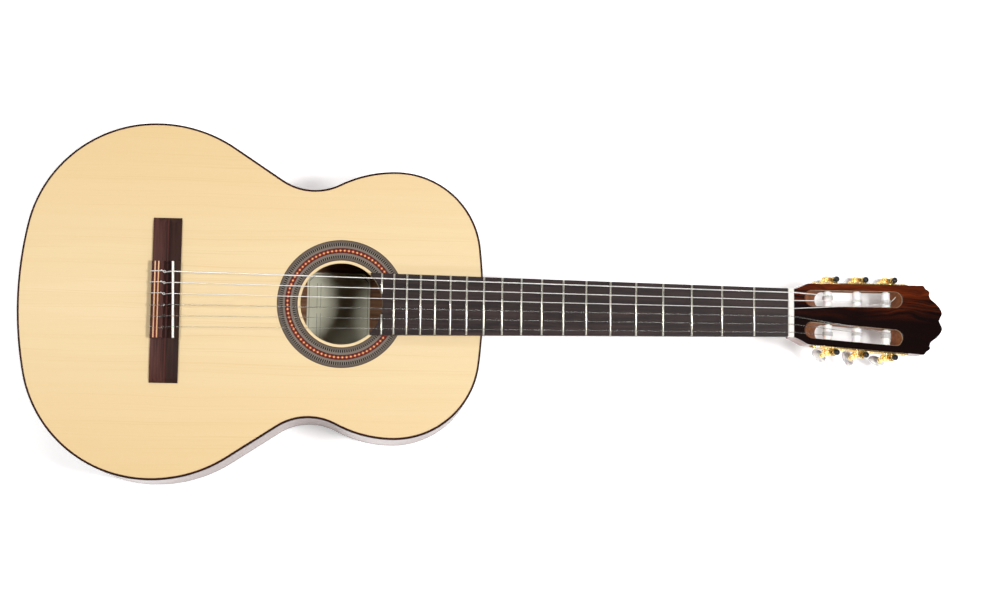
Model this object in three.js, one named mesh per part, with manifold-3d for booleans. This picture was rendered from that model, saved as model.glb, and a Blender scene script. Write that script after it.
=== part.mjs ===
// Classical guitar, lying on its back.
// Lengths are in millimetres. In the guitar's own group x runs along the neck towards the head, y towards
// the bass side and z up from the soundboard's top face; x = 0 is where the neck meets the body.

import * as THREE from 'three';
import { mergeVertices } from 'three/addons/utils/BufferGeometryUtils.js';
import Module from 'manifold-3d';

const wasm = await Module();
wasm.setup();

// Driving dimensions

const SCALE_LENGTH = 650; // string length from nut to saddle
const BODY_FRET = 12; // fret that lies over the body's edge
const FRET_COUNT = 19;
const BODY_LENGTH = 490;
const BODY_DEPTH = 100;
const UPPER_BOUT = { x: -94, half: 142.9, radius: 91 };
const WAIST = { x: -182, half: 121.5, radius: 60 };
const LOWER_BOUT = { x: -347, half: 189.3, front: 147, rear: 137.7 };
const BACK_FLAT = { front: -40, rear: -330, half: 30 }; // part of the back that is flat
const BACK_ARCH = { front: 500, rear: 5000, side: 4000 }; // radii of the arching around it

const TOP_THICKNESS = 2.4;
const BACK_THICKNESS = 2.5;
const RIB_THICKNESS = 2.2;
const BINDING_HEIGHT = 5;
const LINING = { width: 5.5, height: 14.5 };
const GLUE_GAP = 0.15; // between faces that are parallel
const SEAT_GAP = 0.3; // between faces that a turned group or a facet can bring closer

const SOUNDHOLE = { x: -150.4, radius: 43.3 };
const ROSETTE = { inner: 46.6, outer: 68.9, depth: 1 };

const FRETBOARD = { thickness: 6.8, nutHalf: 26, bodyHalf: 31 };
const FRET = { width: 2, crown: 1.1, height: 1 };
const NUT = { length: 6.3, height: 7.7 };

const BRIDGE = { rear: -350, length: 30, half: 87.5, blockHalf: 40.6, blockHeight: 8.6 };
const SADDLE = { x: -326.8, thickness: 2.6, height: 11.6, depth: 3.6 };

const NECK_DEPTH = { nut: 14.4, body: 16.6 };
const HEEL = { reach: 17.5, half: 11.5, topHalf: 28, flare: 46, fade: 16 };
const HEAD_ANGLE = THREE.MathUtils.degToRad(15);
const HEAD = { x: 331.5, z: 2.5, thickness: 20, veneer: 2.5, half: 32.35, taper: 0.036 };
const SLOT = { start: 12.7, end: 130.7, backStart: 34, backEnd: 126, inset: 15.95, half: 8.85 };

const TUNER_POSITIONS = [44.5, 79.5, 114.5]; // along the head's side, from the nut outwards
const ROLLER = { depth: -9.5, radius: 4.9, half: 7.9, journal: 3.2, pin: 2.5 };
const STRING_HOLE = 0.8; // radius of the hole across each roller
const RUNNING_CLEARANCE = 0.15;
const PLATE = { start: 25, end: 140, thickness: 1.2, half: 7 };
const GEAR = { teeth: 14, pitchRadius: 4.9, tip: 5.55, root: 4.05, width: 5, middle: 5.4 };
const WORM = { pitchRadius: 2.8, tip: 3.45, root: 1.95, length: 6, shaft: 1.9 };
const POST = { width: 5, thickness: 1.6, offset: 4.2, reach: 8.4 };
const BUTTON = { depth: -45, wide: 9.2, thin: 4.2, half: 7 };

const STRING_DIAMETERS = [0.71, 0.82, 1.02, 0.74, 0.89, 1.09]; // string 1 is the highest
const NUT_SPAN = 42.8;
const SADDLE_SPAN = 58.5;
const ROLLER_LANDINGS = [21.5, 17, 15.5]; // distance of each string from the centreline at its roller

// Materials

const FINISHES = {
  spruce: [0xe8c890, 0.35, 0],
  mahogany: [0x6b3320, 0.35, 0],
  rosewood: [0x38201a, 0.3, 0],
  ebony: [0x2a2020, 0.45, 0],
  inlay: [0x9a5030, 0.4, 0],
  bone: [0xf4f0e4, 0.35, 0],
  gold: [0xd8b060, 0.3, 0.9],
  steel: [0xc8c8c4, 0.3, 0.9],
  nylon: [0xe8e6e0, 0.25, 0],
  pearl: [0xf0ece4, 0.25, 0],
};

function finish(name) {
  const [color, roughness, metalness] = FINISHES[name];
  return new THREE.MeshStandardMaterial({ color, roughness, metalness });
}

const guitar = new THREE.Group();

function add(group, name, geometry, finishName) {
  const mesh = new THREE.Mesh(geometry, finish(finishName));
  mesh.name = name;
  group.add(mesh);
  return mesh;
}

// Solids

function geometryOf(positions, triangles) {
  const geometry = new THREE.BufferGeometry();
  geometry.setAttribute('position', new THREE.BufferAttribute(Float32Array.from(positions), 3));
  geometry.setIndex(triangles);
  return geometry;
}

function signedVolume(points, triangles) {
  let volume = 0;
  for (let i = 0; i < triangles.length; i += 3) {
    const [a, b, c] = [points[triangles[i]], points[triangles[i + 1]], points[triangles[i + 2]]];
    volume += a.dot(new THREE.Vector3().crossVectors(b, c)) / 6;
  }
  return volume;
}

function centroid(ring) {
  return ring.reduce((sum, p) => sum.add(p), new THREE.Vector3()).divideScalar(ring.length);
}

// Skin over a row of rings, each with the same number of points; open rows are capped at both ends.
function loft(rings, closed = false) {
  const points = rings.flat();
  const count = rings[0].length;
  const triangles = [];
  const bays = closed ? rings.length : rings.length - 1;
  for (let i = 0; i < bays; i++) {
    const next = (i + 1) % rings.length;
    for (let j = 0; j < count; j++) {
      const k = (j + 1) % count;
      const [a, b, c, d] = [i * count + j, i * count + k, next * count + k, next * count + j];
      triangles.push(a, b, c, a, c, d);
    }
  }
  if (!closed) {
    const last = (rings.length - 1) * count;
    const first = points.length;
    points.push(centroid(rings[0]), centroid(rings.at(-1)));
    for (let j = 0; j < count; j++) {
      const k = (j + 1) % count;
      triangles.push(first, k, j, first + 1, last + j, last + k);
    }
  }
  if (signedVolume(points, triangles) < 0) triangles.reverse();
  return geometryOf(points.flatMap((p) => p.toArray()), triangles);
}

function manifold(geometry) {
  const bare = geometry.clone();
  bare.deleteAttribute('normal');
  bare.deleteAttribute('uv');
  const merged = mergeVertices(bare, 1e-4);
  return new wasm.Manifold(new wasm.Mesh({
    numProp: 3,
    vertProperties: Float32Array.from(merged.attributes.position.array),
    triVerts: Uint32Array.from(merged.index.array),
  }));
}

function combine(base, added, removed = []) {
  let solid = manifold(base);
  for (const geometry of added) solid = solid.add(manifold(geometry));
  for (const geometry of removed) solid = solid.subtract(manifold(geometry));
  const { vertProperties, triVerts } = solid.getMesh();
  return geometryOf(Array.from(vertProperties), Array.from(triVerts));
}

// Flat shape in x and y, from z = low to z = high.
function slab(points, low, high, holes = []) {
  const shape = new THREE.Shape(points);
  shape.holes = holes.map((hole) => new THREE.Path(hole));
  const geometry = new THREE.ExtrudeGeometry(shape, { depth: high - low, bevelEnabled: false, steps: 1 });
  return geometry.translate(0, 0, low);
}

function box(x, y, z) {
  const geometry = new THREE.BoxGeometry(x[1] - x[0], y[1] - y[0], z[1] - z[0]);
  return geometry.translate((x[0] + x[1]) / 2, (y[0] + y[1]) / 2, (z[0] + z[1]) / 2);
}

// Cylinder along y, from y = low to y = high.
function rod(x, z, radius, low, high, sides = 12) {
  return new THREE.CylinderGeometry(radius, radius, high - low, sides).translate(x, (low + high) / 2, z);
}

function circle(x, radius, sides) {
  const angles = Array.from({ length: sides }, (_, i) => (2 * Math.PI * i) / sides);
  return angles.map((a) => new THREE.Vector2(x + radius * Math.cos(a), radius * Math.sin(a)));
}

const mirrored = (points) => points.map((p) => new THREE.Vector2(p.x, -p.y)).reverse();
const at = (p, z) => new THREE.Vector3(p.x, p.y, z);

// Body outline: circles that touch each other, for the bass half from the neck to the tail

const CHORD = 19; // length of a facet along the outline
const RING_SIDES = 44; // facets round the soundhole and the rosette

// Radius of the circle centred on the centreline that passes x = end and holds a circle inside it.
function endRadius(offset, y, radius) {
  return (radius ** 2 - offset ** 2 - y ** 2) / (2 * (offset + radius));
}

function outlineArcs() {
  const upper = { x: UPPER_BOUT.x, y: UPPER_BOUT.half - UPPER_BOUT.radius };
  const waist = { x: WAIST.x, y: WAIST.half + WAIST.radius };
  const lower = { x: LOWER_BOUT.x, y: LOWER_BOUT.half - LOWER_BOUT.front };
  const rear = { x: LOWER_BOUT.x, y: LOWER_BOUT.half - LOWER_BOUT.rear };
  const shoulderRadius = endRadius(upper.x, upper.y, UPPER_BOUT.radius);
  const tailRadius = endRadius(-BODY_LENGTH - rear.x, rear.y, LOWER_BOUT.rear);
  const step = WAIST.half - UPPER_BOUT.half;
  const reach = -(step ** 2 + (UPPER_BOUT.x - WAIST.x) ** 2) / (2 * step);
  const flank = { x: UPPER_BOUT.x, y: UPPER_BOUT.half - (reach - WAIST.radius) };

  const shoulderEnd = Math.atan2(upper.y, upper.x + shoulderRadius);
  const flankEnd = Math.atan2(waist.y - flank.y, waist.x - flank.x);
  const distance = Math.hypot(waist.x - lower.x, waist.y - lower.y);
  const tilt = Math.acos((LOWER_BOUT.front + WAIST.radius) / distance);
  const tangent = Math.atan2(waist.y - lower.y, waist.x - lower.x) + tilt;
  const tailCentre = tailRadius - BODY_LENGTH;
  const tailStart = Math.atan2(rear.y, rear.x - tailCentre);
  const top = Math.PI / 2;
  return [
    { x: -shoulderRadius, y: 0, radius: shoulderRadius, from: 0, to: shoulderEnd },
    { ...upper, radius: UPPER_BOUT.radius, from: shoulderEnd, to: top },
    { ...flank, radius: reach - WAIST.radius, from: top, to: flankEnd },
    { ...waist, radius: WAIST.radius, from: flankEnd - Math.PI, to: tangent - Math.PI, hollow: true },
    { ...lower, radius: LOWER_BOUT.front, from: tangent, to: top },
    { ...rear, radius: LOWER_BOUT.rear, from: top, to: tailStart },
    { x: tailCentre, y: 0, radius: tailRadius, from: tailStart, to: Math.PI },
  ];
}

const ARCS = outlineArcs();

// Bass half of the outline, moved inwards by inset; the same place always has the same index.
function halfOutline(inset) {
  const points = [];
  ARCS.forEach((arc, index) => {
    const radius = arc.hollow ? arc.radius + inset : arc.radius - inset;
    const steps = Math.ceil((arc.radius * Math.abs(arc.to - arc.from)) / CHORD);
    const sharesEnd = index < ARCS.length - 1 && !arc.hollow;
    for (let i = 0; i < (sharesEnd ? steps : steps + 1); i++) {
      const angle = THREE.MathUtils.lerp(arc.from, arc.to, i / steps);
      points.push(new THREE.Vector2(arc.x + radius * Math.cos(angle), arc.y + radius * Math.sin(angle)));
    }
  });
  return points;
}

function fullOutline(inset) {
  const half = halfOutline(inset);
  return [...half, ...mirrored(half).slice(1, -1)];
}

function halfWidthAt(x, inset) {
  const half = halfOutline(inset);
  const i = half.findIndex((p) => p.x <= x);
  const [a, b] = [half[i - 1], half[i]];
  return THREE.MathUtils.lerp(a.y, b.y, (x - a.x) / (b.x - a.x));
}

// Height of the back's outer face above or below the soundboard's top.
function backHeight(x, y) {
  const rise = (distance, radius) => Math.max(0, distance) ** 2 / (2 * radius);
  const side = rise(Math.abs(y) - BACK_FLAT.half, BACK_ARCH.side);
  const front = rise(x - BACK_FLAT.front, BACK_ARCH.front);
  const rear = rise(BACK_FLAT.rear - x, BACK_ARCH.rear);
  return -BODY_DEPTH + side + front + rear;
}

// Strip that follows the outline, between two insets and two heights given for each place on it.
function band(outer, inner, low, high, closed) {
  const rings = outer.map((p, i) => {
    return [at(p, low(p)), at(p, high(p)), at(inner[i], high(p)), at(inner[i], low(p))];
  });
  return loft(rings, closed);
}

// Body

const INNER = RIB_THICKNESS + GLUE_GAP; // inset of everything that lies inside the ribs
const LINING_INNER = INNER + LINING.width;
const BACK_INNER = BACK_THICKNESS + GLUE_GAP;

function soundboard() {
  const hole = circle(SOUNDHOLE.x, SOUNDHOLE.radius, RING_SIDES);
  const board = slab(fullOutline(INNER), -TOP_THICKNESS, 0, [hole]);
  const island = circle(SOUNDHOLE.x, ROSETTE.inner - GLUE_GAP, RING_SIDES);
  const ring = circle(SOUNDHOLE.x, ROSETTE.outer + GLUE_GAP, RING_SIDES);
  const groove = slab(ring, -ROSETTE.depth - GLUE_GAP, 1, [island]);
  return combine(board, [], [groove]);
}

function rosette() {
  const inner = circle(SOUNDHOLE.x, ROSETTE.inner, RING_SIDES);
  return slab(circle(SOUNDHOLE.x, ROSETTE.outer, RING_SIDES), -ROSETTE.depth, 0, [inner]);
}

function backPlate() {
  const rings = halfOutline(INNER).slice(1, -1).map(({ x, y }) => {
    const flat = Math.min(BACK_FLAT.half, y / 2);
    const across = [-y, -(y + flat) / 2, -flat, flat, (y + flat) / 2, y];
    const outside = across.map((w) => new THREE.Vector3(x, w, backHeight(x, w)));
    const inside = outside.map((p) => p.clone().setZ(p.z + BACK_THICKNESS)).reverse();
    return [...outside, ...inside];
  });
  return loft(rings);
}

function rib(side) {
  const half = (inset) => {
    return halfOutline(inset).map((p) => new THREE.Vector2(p.x, side * Math.max(p.y, GLUE_GAP)));
  };
  const low = (p) => backHeight(p.x, p.y) + BINDING_HEIGHT + GLUE_GAP;
  const high = () => -BINDING_HEIGHT - GLUE_GAP;
  return band(half(0), half(RIB_THICKNESS), low, high, false);
}

function bindings() {
  const [outer, inner] = [fullOutline(0), fullOutline(RIB_THICKNESS)];
  const back = (p) => backHeight(p.x, p.y);
  add(guitar, 'binding_top', band(outer, inner, () => -BINDING_HEIGHT, () => 0, true), 'rosewood');
  add(guitar, 'binding_back', band(outer, inner, back, (p) => back(p) + BINDING_HEIGHT, true), 'rosewood');
}

const NECK_BLOCK = { half: 34, length: 32, relief: 1.4 }; // relief leaves room for the ribs' bow
const TAIL_BLOCK = { half: 34, length: 16 };

// The linings start beside the neck block and run round the tail to its other side.
function linings() {
  const outer = fullOutline(INNER);
  const inner = fullOutline(LINING_INNER);
  const first = outer.findIndex((p) => p.y > NECK_BLOCK.half + 3);
  const run = (points) => points.slice(first, points.length - first + 1);
  const under = -TOP_THICKNESS - GLUE_GAP;
  const over = (p) => backHeight(p.x, p.y) + BACK_INNER;
  const top = band(run(outer), run(inner), () => under - LINING.height, () => under, false);
  const back = band(run(outer), run(inner), over, (p) => over(p) + LINING.height, false);
  add(guitar, 'lining_top', top, 'mahogany');
  add(guitar, 'lining_back', back, 'mahogany');
}

// The tail block reaches the rib between the linings, which run through its rebates.
function blocks() {
  const top = -TOP_THICKNESS - GLUE_GAP;
  const neckFloor = backHeight(0, NECK_BLOCK.half) + BACK_INNER + SEAT_GAP;
  const front = -INNER - NECK_BLOCK.relief;
  const width = [-NECK_BLOCK.half, NECK_BLOCK.half];
  add(guitar, 'neck_block', box([front - NECK_BLOCK.length, front], width, [neckFloor, top]), 'mahogany');

  const { half, length } = TAIL_BLOCK;
  const bow = half ** 2 / (2 * (ARCS.at(-1).radius - LINING_INNER)); // of the tail across the block
  const rear = INNER + bow + SEAT_GAP - BODY_LENGTH;
  const inner = LINING_INNER + bow + SEAT_GAP - BODY_LENGTH;
  const floor = backHeight(-BODY_LENGTH, half) + BACK_INNER + SEAT_GAP;
  const liningTop = top - LINING.height - SEAT_GAP;
  const liningBack = floor + LINING.height + SEAT_GAP;
  const profile = [
    [inner, floor], [inner + length, floor], [inner + length, top], [inner, top],
    [inner, liningTop], [rear, liningTop], [rear, liningBack], [inner, liningBack],
  ].map(([x, z]) => new THREE.Vector2(x, z));
  const block = slab(profile, -half, half).rotateX(Math.PI / 2);
  add(guitar, 'tail_block', block, 'mahogany');
}

// Bar along y under the soundboard, thinner towards both ends.
function bar(half, height, width, ends) {
  const profile = [
    [-half, 0], [-half, -ends.height], [ends.length - half, -height],
    [half - ends.length, -height], [half, -ends.height], [half, 0],
  ].map(([y, z]) => new THREE.Vector2(y, z));
  return slab(profile, -width / 2, width / 2).rotateX(Math.PI / 2).rotateZ(Math.PI / 2);
}

const HARMONIC_BARS = { harmonic_bar_upper: -92, harmonic_bar_lower: -208 };
const HARMONIC = { width: 7, height: 16, ends: { height: 4, length: 32 } };
const FAN = { count: 5, front: -222, length: 210, spacing: 39, spread: 7, height: 6.5, width: 6 };
const FAN_ENDS = { height: 1.5, length: 30 };

function soundboardBracing() {
  const top = -TOP_THICKNESS - GLUE_GAP;
  for (const [name, x] of Object.entries(HARMONIC_BARS)) {
    const { width, height, ends } = HARMONIC;
    const edges = [x - width / 2, x + width / 2].map((edge) => halfWidthAt(edge, LINING_INNER));
    const mesh = add(guitar, name, bar(Math.min(...edges) - 1, height, width, ends), 'spruce');
    mesh.position.set(x, 0, top);
  }
  for (let i = 0; i < FAN.count; i++) {
    const place = i - (FAN.count - 1) / 2;
    const angle = THREE.MathUtils.degToRad(-FAN.spread * place);
    const half = FAN.length / 2 - 8 * Math.abs(place); // the outer struts are shorter
    const strut = bar(half, FAN.height, FAN.width, FAN_ENDS);
    const mesh = add(guitar, `fan_strut_${i + 1}`, strut, 'spruce');
    mesh.position.set(FAN.front - FAN.length / 2, FAN.spacing * place, top);
    mesh.rotation.z = Math.PI / 2 + angle;
  }
}

const BACK_BARS = { back_bar_upper: -80, back_bar_middle: -205, back_bar_lower: -350 };
const BACK_BAR = { width: 11, height: 13, endHeight: 4, endLength: 35 };

function backBracing() {
  for (const [name, x] of Object.entries(BACK_BARS)) {
    const { width, height, endHeight, endLength } = BACK_BAR;
    const edges = [x - width / 2, x + width / 2];
    const half = Math.min(...edges.map((edge) => halfWidthAt(edge, LINING_INNER))) - 1;
    const floor = (y) => Math.max(...edges.map((edge) => backHeight(edge, y))) + BACK_INNER + SEAT_GAP;
    const stations = [0, BACK_FLAT.half, (half + BACK_FLAT.half) / 2, half];
    const under = stations.map((y) => new THREE.Vector2(y, floor(y)));
    const over = [[half, floor(half) + endHeight], [half - endLength, floor(0) + height]];
    const right = [...under, ...over.map(([y, z]) => new THREE.Vector2(y, z))];
    const left = right.slice(1).map((p) => new THREE.Vector2(-p.x, p.y)).reverse();
    const solid = slab([...right, ...left], x - width / 2, x + width / 2);
    solid.rotateX(Math.PI / 2).rotateZ(Math.PI / 2);
    add(guitar, name, solid, 'mahogany');
  }
}

// Bridge: a block for the strings' knots and the saddle, between two lower wings

const WING = { edge: 2.2, ridge: 4.4, ridgeWidth: 3, bevel: 7, end: 1.6 };
const CHANNEL = { start: 13, end: 17.5, floor: 3, front: 6.6 }; // between the tie block and the saddle
const FRONT_EDGE = { slope: 2.4, low: 3.6, high: 7.2, top: 7.6 }; // of the block, before the saddle

function bridge() {
  const { rear, length, half, blockHalf, blockHeight } = BRIDGE;
  const front = rear + length;
  const seat = GLUE_GAP;
  const slotRear = SADDLE.x - SADDLE.thickness / 2 - GLUE_GAP;
  const slotFront = SADDLE.x + SADDLE.thickness / 2 + GLUE_GAP;
  const block = [
    [rear, seat], [front, seat], [front, FRONT_EDGE.low], [front - FRONT_EDGE.slope, FRONT_EDGE.high],
    [slotFront, FRONT_EDGE.top], [slotFront, SADDLE.depth], [slotRear, SADDLE.depth],
    [slotRear, CHANNEL.front], [rear + CHANNEL.end, CHANNEL.floor], [rear + CHANNEL.start, CHANNEL.floor],
    [rear + CHANNEL.start, blockHeight], [rear + 1, blockHeight], [rear, blockHeight - 1],
  ].map(([x, z]) => new THREE.Vector2(x, z));
  const centre = slab(block, -blockHalf, blockHalf).rotateX(Math.PI / 2);

  const middle = (rear + front) / 2;
  const crest = [middle - WING.ridgeWidth / 2, middle + WING.ridgeWidth / 2];
  const section = (y, ridge) => [
    [rear, seat], [front, seat], [front, Math.min(WING.edge, ridge)], [crest[1], ridge],
    [crest[0], ridge], [rear, Math.min(WING.edge, ridge)],
  ].map(([x, z]) => new THREE.Vector3(x, y, z));
  const wings = [1, -1].map((side) => loft([
    section(side * (blockHalf - 0.5), WING.ridge),
    section(side * (half - WING.bevel), WING.ridge),
    section(side * half, WING.end),
  ]));
  return combine(centre, wings);
}

function saddle() {
  const [rear, front] = [SADDLE.x - SADDLE.thickness / 2, SADDLE.x + SADDLE.thickness / 2];
  const foot = SADDLE.depth + GLUE_GAP;
  const crown = 0.7;
  const profile = [
    [rear, foot], [front, foot], [front, SADDLE.height - crown], [front - crown, SADDLE.height],
    [rear + crown, SADDLE.height], [rear, SADDLE.height - crown],
  ].map(([x, z]) => new THREE.Vector2(x, z));
  const half = BRIDGE.blockHalf - 0.2;
  return slab(profile, -half, half).rotateX(Math.PI / 2);
}

// Fretboard with its frets, which are pressed into it

const NUT_X = SCALE_LENGTH - SCALE_LENGTH / 2 ** (BODY_FRET / 12);
const fretX = (n) => NUT_X - (SCALE_LENGTH - SCALE_LENGTH / 2 ** (n / 12));

function fretboardHalf(x) {
  return THREE.MathUtils.lerp(FRETBOARD.bodyHalf, FRETBOARD.nutHalf, x / NUT_X);
}

const BOARD_END = 12; // from the last fret to the tips that frame the soundhole
const LAST_FRET_GAP = 10.8; // half width of the soundhole's bite out of the last fret

function fretWire(x, low, high) {
  const foot = FRETBOARD.thickness - 0.5;
  const top = FRETBOARD.thickness + FRET.height;
  const profile = [
    [-FRET.width / 2, foot], [FRET.width / 2, foot], [FRET.crown / 2, top], [-FRET.crown / 2, top],
  ].map(([across, z]) => new THREE.Vector2(x + across, z));
  return slab(profile, -high, -low).rotateX(Math.PI / 2);
}

function frets() {
  const wires = [];
  for (let n = 1; n <= FRET_COUNT; n++) {
    const outer = fretboardHalf(fretX(n)) - 0.3;
    const last = [[LAST_FRET_GAP, outer], [-outer, -LAST_FRET_GAP]];
    const spans = n === FRET_COUNT ? last : [[-outer, outer]];
    wires.push(...spans.map(([low, high]) => fretWire(fretX(n), low, high)));
  }
  return wires;
}

function fretboard() {
  const arcSteps = 12;
  const endX = fretX(FRET_COUNT) - BOARD_END;
  const edge = fretboardHalf(endX);
  const arcRadius = SOUNDHOLE.radius + 0.6;
  const open = Math.acos((endX - SOUNDHOLE.x) / arcRadius);
  const arc = Array.from({ length: arcSteps + 1 }, (_, i) => {
    const angle = THREE.MathUtils.lerp(open, -open, i / arcSteps);
    return new THREE.Vector2(SOUNDHOLE.x + arcRadius * Math.cos(angle), arcRadius * Math.sin(angle));
  });
  const outline = [
    new THREE.Vector2(NUT_X, -FRETBOARD.nutHalf), new THREE.Vector2(NUT_X, FRETBOARD.nutHalf),
    new THREE.Vector2(endX, edge), ...arc, new THREE.Vector2(endX, -edge),
  ];
  return combine(slab(outline, GLUE_GAP, FRETBOARD.thickness), frets());
}

function nut() {
  const x = [NUT_X + GLUE_GAP, NUT_X + NUT.length];
  const y = [-FRETBOARD.nutHalf, FRETBOARD.nutHalf];
  return box(x, y, [GLUE_GAP, NUT.height]);
}

// Neck, heel and head are one piece of wood

const headGroup = new THREE.Group();
headGroup.position.set(HEAD.x, 0, HEAD.z);
headGroup.rotation.y = HEAD_ANGLE;
headGroup.updateMatrix();
guitar.add(headGroup);

const CREST = [
  [156, 37.9], [159, 34.6], [163.6, 31.2], [163.2, 27.7], [165, 23.5],
  [171.4, 18.8], [176.6, 13.3], [178.6, 8], [176.6, 3.6], [175, 0],
];

// Bass half of the head's outline, from the nut to the middle of the crest.
function headHalf() {
  const shoulder = 21;
  const side = HEAD.half + shoulder * HEAD.taper;
  const throat = [[0, 25.6], [6.4, 27.8], [12, 30.4], [17, 32.6], [shoulder, side]];
  const smooth = (list, steps) => {
    return new THREE.SplineCurve(list.map(([s, y]) => new THREE.Vector2(s, y))).getPoints(steps);
  };
  return [...smooth(throat, 6), new THREE.Vector2(...CREST[0]), ...smooth(CREST.slice(1), 16)];
}

function headOutline() {
  const half = headHalf();
  return [...half, ...mirrored(half).slice(1)];
}

// Frame of one tuning machine: u along the head's side, v out of it.
function tunerFrame(side) {
  const group = new THREE.Group();
  group.position.set(0, side * HEAD.half, 0);
  group.rotation.z = side * Math.atan(HEAD.taper);
  group.updateMatrix();
  return group;
}

function slotRing(side, start, end, depth) {
  const steps = 6;
  const ring = [];
  for (const [x, turn] of [[end - SLOT.half, -0.5], [start + SLOT.half, 0.5]]) {
    for (let i = 0; i <= steps; i++) {
      const angle = (turn + i / steps) * Math.PI;
      const across = SLOT.half * Math.sin(angle);
      ring.push(new THREE.Vector3(x + SLOT.half * Math.cos(angle), -side * SLOT.inset + across, depth));
    }
  }
  return ring.map((p) => p.applyMatrix4(tunerFrame(side).matrix));
}

const NEAR_WALL = SLOT.inset - SLOT.half; // the slot's sides, from the head's side
const FAR_WALL = SLOT.inset + SLOT.half;
const PIN_LENGTH = 4.8; // of the roller's pin in the far wall

// The hole through a slot that slopes at both ends, wider at the front.
function slotCut(side) {
  const startSlope = (SLOT.backStart - SLOT.start) / HEAD.thickness;
  const endSlope = (SLOT.end - SLOT.backEnd) / HEAD.thickness;
  return loft([-1, 1 + HEAD.thickness].map((depth) => {
    return slotRing(side, SLOT.start + startSlope * depth, SLOT.end - endSlope * depth, -depth);
  }));
}

// Bores for a roller's journal and pin, on either side of its slot.
function rollerBores(side, u) {
  const bore = (radius, low, high) => {
    const [from, to] = side > 0 ? [low, high] : [-high, -low];
    return rod(u, ROLLER.depth, radius + RUNNING_CLEARANCE, from, to).applyMatrix4(tunerFrame(side).matrix);
  };
  return [
    bore(ROLLER.journal, -NEAR_WALL - 1, 1),
    bore(ROLLER.pin, -FAR_WALL - PIN_LENGTH - 0.7, 1 - FAR_WALL),
  ];
}

function headWood() {
  const wood = slab(headOutline(), -HEAD.thickness, -HEAD.veneer - GLUE_GAP);
  const cuts = [1, -1].flatMap((side) => {
    return [slotCut(side), ...TUNER_POSITIONS.flatMap((u) => rollerBores(side, u))];
  });
  return combine(wood, [], cuts).applyMatrix4(headGroup.matrix);
}

// Cross-section of the neck: a flat top and a rounded back.
function neckSection(x, half, depth) {
  const steps = 12;
  return Array.from({ length: steps + 1 }, (_, i) => {
    const angle = (Math.PI * i) / steps;
    const across = Math.sign(Math.cos(angle)) * Math.abs(Math.cos(angle)) ** 0.8;
    return new THREE.Vector3(x, half * across, -GLUE_GAP - depth * Math.sin(angle) ** 0.7);
  });
}

// The shaft grows deeper from the nut to the body, and where it meets the head.
function neckShaft() {
  const { body, nut: least } = NECK_DEPTH;
  const stations = [[SEAT_GAP, body], [NUT_X - 30, least], [NUT_X - 6, least + 0.8]];
  return loft([
    ...stations.map(([x, depth]) => neckSection(x, fretboardHalf(x), depth)),
    neckSection(HEAD.x, FRETBOARD.nutHalf - 0.3, least + 2.6),
  ]);
}

const HEEL_BOTTOM = backHeight(0, 0) + 3.4;

// Half-ellipses stacked from the neck down to the back.
function heelRing(z, grow = 0) {
  const fade = Math.exp(-Math.max(0, 4 - z - NECK_DEPTH.body) / HEEL.fade);
  const depth = THREE.MathUtils.clamp(z / HEEL_BOTTOM, 0, 1);
  const reach = HEEL.reach + HEEL.flare * fade + grow;
  const half = THREE.MathUtils.lerp(HEEL.topHalf, HEEL.half, Math.sin((depth * Math.PI) / 2) ** 0.8) + grow;
  const steps = 12;
  return Array.from({ length: steps + 1 }, (_, i) => {
    const angle = (Math.PI * i) / steps;
    return new THREE.Vector3(SEAT_GAP + reach * Math.sin(angle), half * Math.cos(angle), z);
  });
}

function neck() {
  const levels = [-4, -13, -18, -23, -29, -37, -48, -62, -78, HEEL_BOTTOM];
  const heel = loft(levels.map((z) => heelRing(z)));
  const throat = box([HEAD.x - 7, HEAD.x], [-24, 24], [-NECK_DEPTH.nut, -0.6]); // under the nut
  return combine(neckShaft(), [heel, headWood(), throat]);
}

function heelCap() {
  const heights = [HEEL_BOTTOM - GLUE_GAP, backHeight(0, 0) + 0.3];
  return loft(heights.map((z) => heelRing(z, 0.4)));
}

function headVeneer() {
  const slots = [1, -1].map((side) => slotRing(side, SLOT.start, SLOT.end, 0));
  const holes = slots.map((ring) => ring.map((p) => new THREE.Vector2(p.x, p.y)));
  const outline = headOutline().map((p) => new THREE.Vector2(Math.max(p.x, 1.2), p.y));
  return slab(outline, -HEAD.veneer, 0, holes);
}

// Tuning machines, built for the bass side; the treble side turns v round but keeps the worm's hand

const WORM_LEAD = (2 * Math.PI * GEAR.pitchRadius) / GEAR.teeth;
const WORM_OFFSET = GEAR.pitchRadius + WORM.pitchRadius;

function revolve(profile, sides) {
  return new THREE.LatheGeometry(profile.map(([r, y]) => new THREE.Vector2(r, y)), sides);
}

// Barrel in the slot with its pin and journal; the string goes through a hole across the barrel.
function roller() {
  const tip = -FAR_WALL - PIN_LENGTH;
  const middle = -SLOT.inset;
  const seat = GEAR.middle - GEAR.width / 2 - SEAT_GAP; // where the wheel starts
  const barrel = revolve([
    [0, tip], [ROLLER.pin, tip], [ROLLER.pin, middle - ROLLER.half],
    [ROLLER.radius, middle - ROLLER.half], [ROLLER.radius, middle + ROLLER.half],
    [ROLLER.journal, middle + ROLLER.half], [ROLLER.journal, seat], [0, seat],
  ], 12);
  const hole = new THREE.CylinderGeometry(STRING_HOLE, STRING_HOLE, 4 * ROLLER.radius, 6);
  hole.rotateX(Math.PI / 2).translate(0, middle, 0);
  return combine(barrel, [], [hole]);
}

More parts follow.
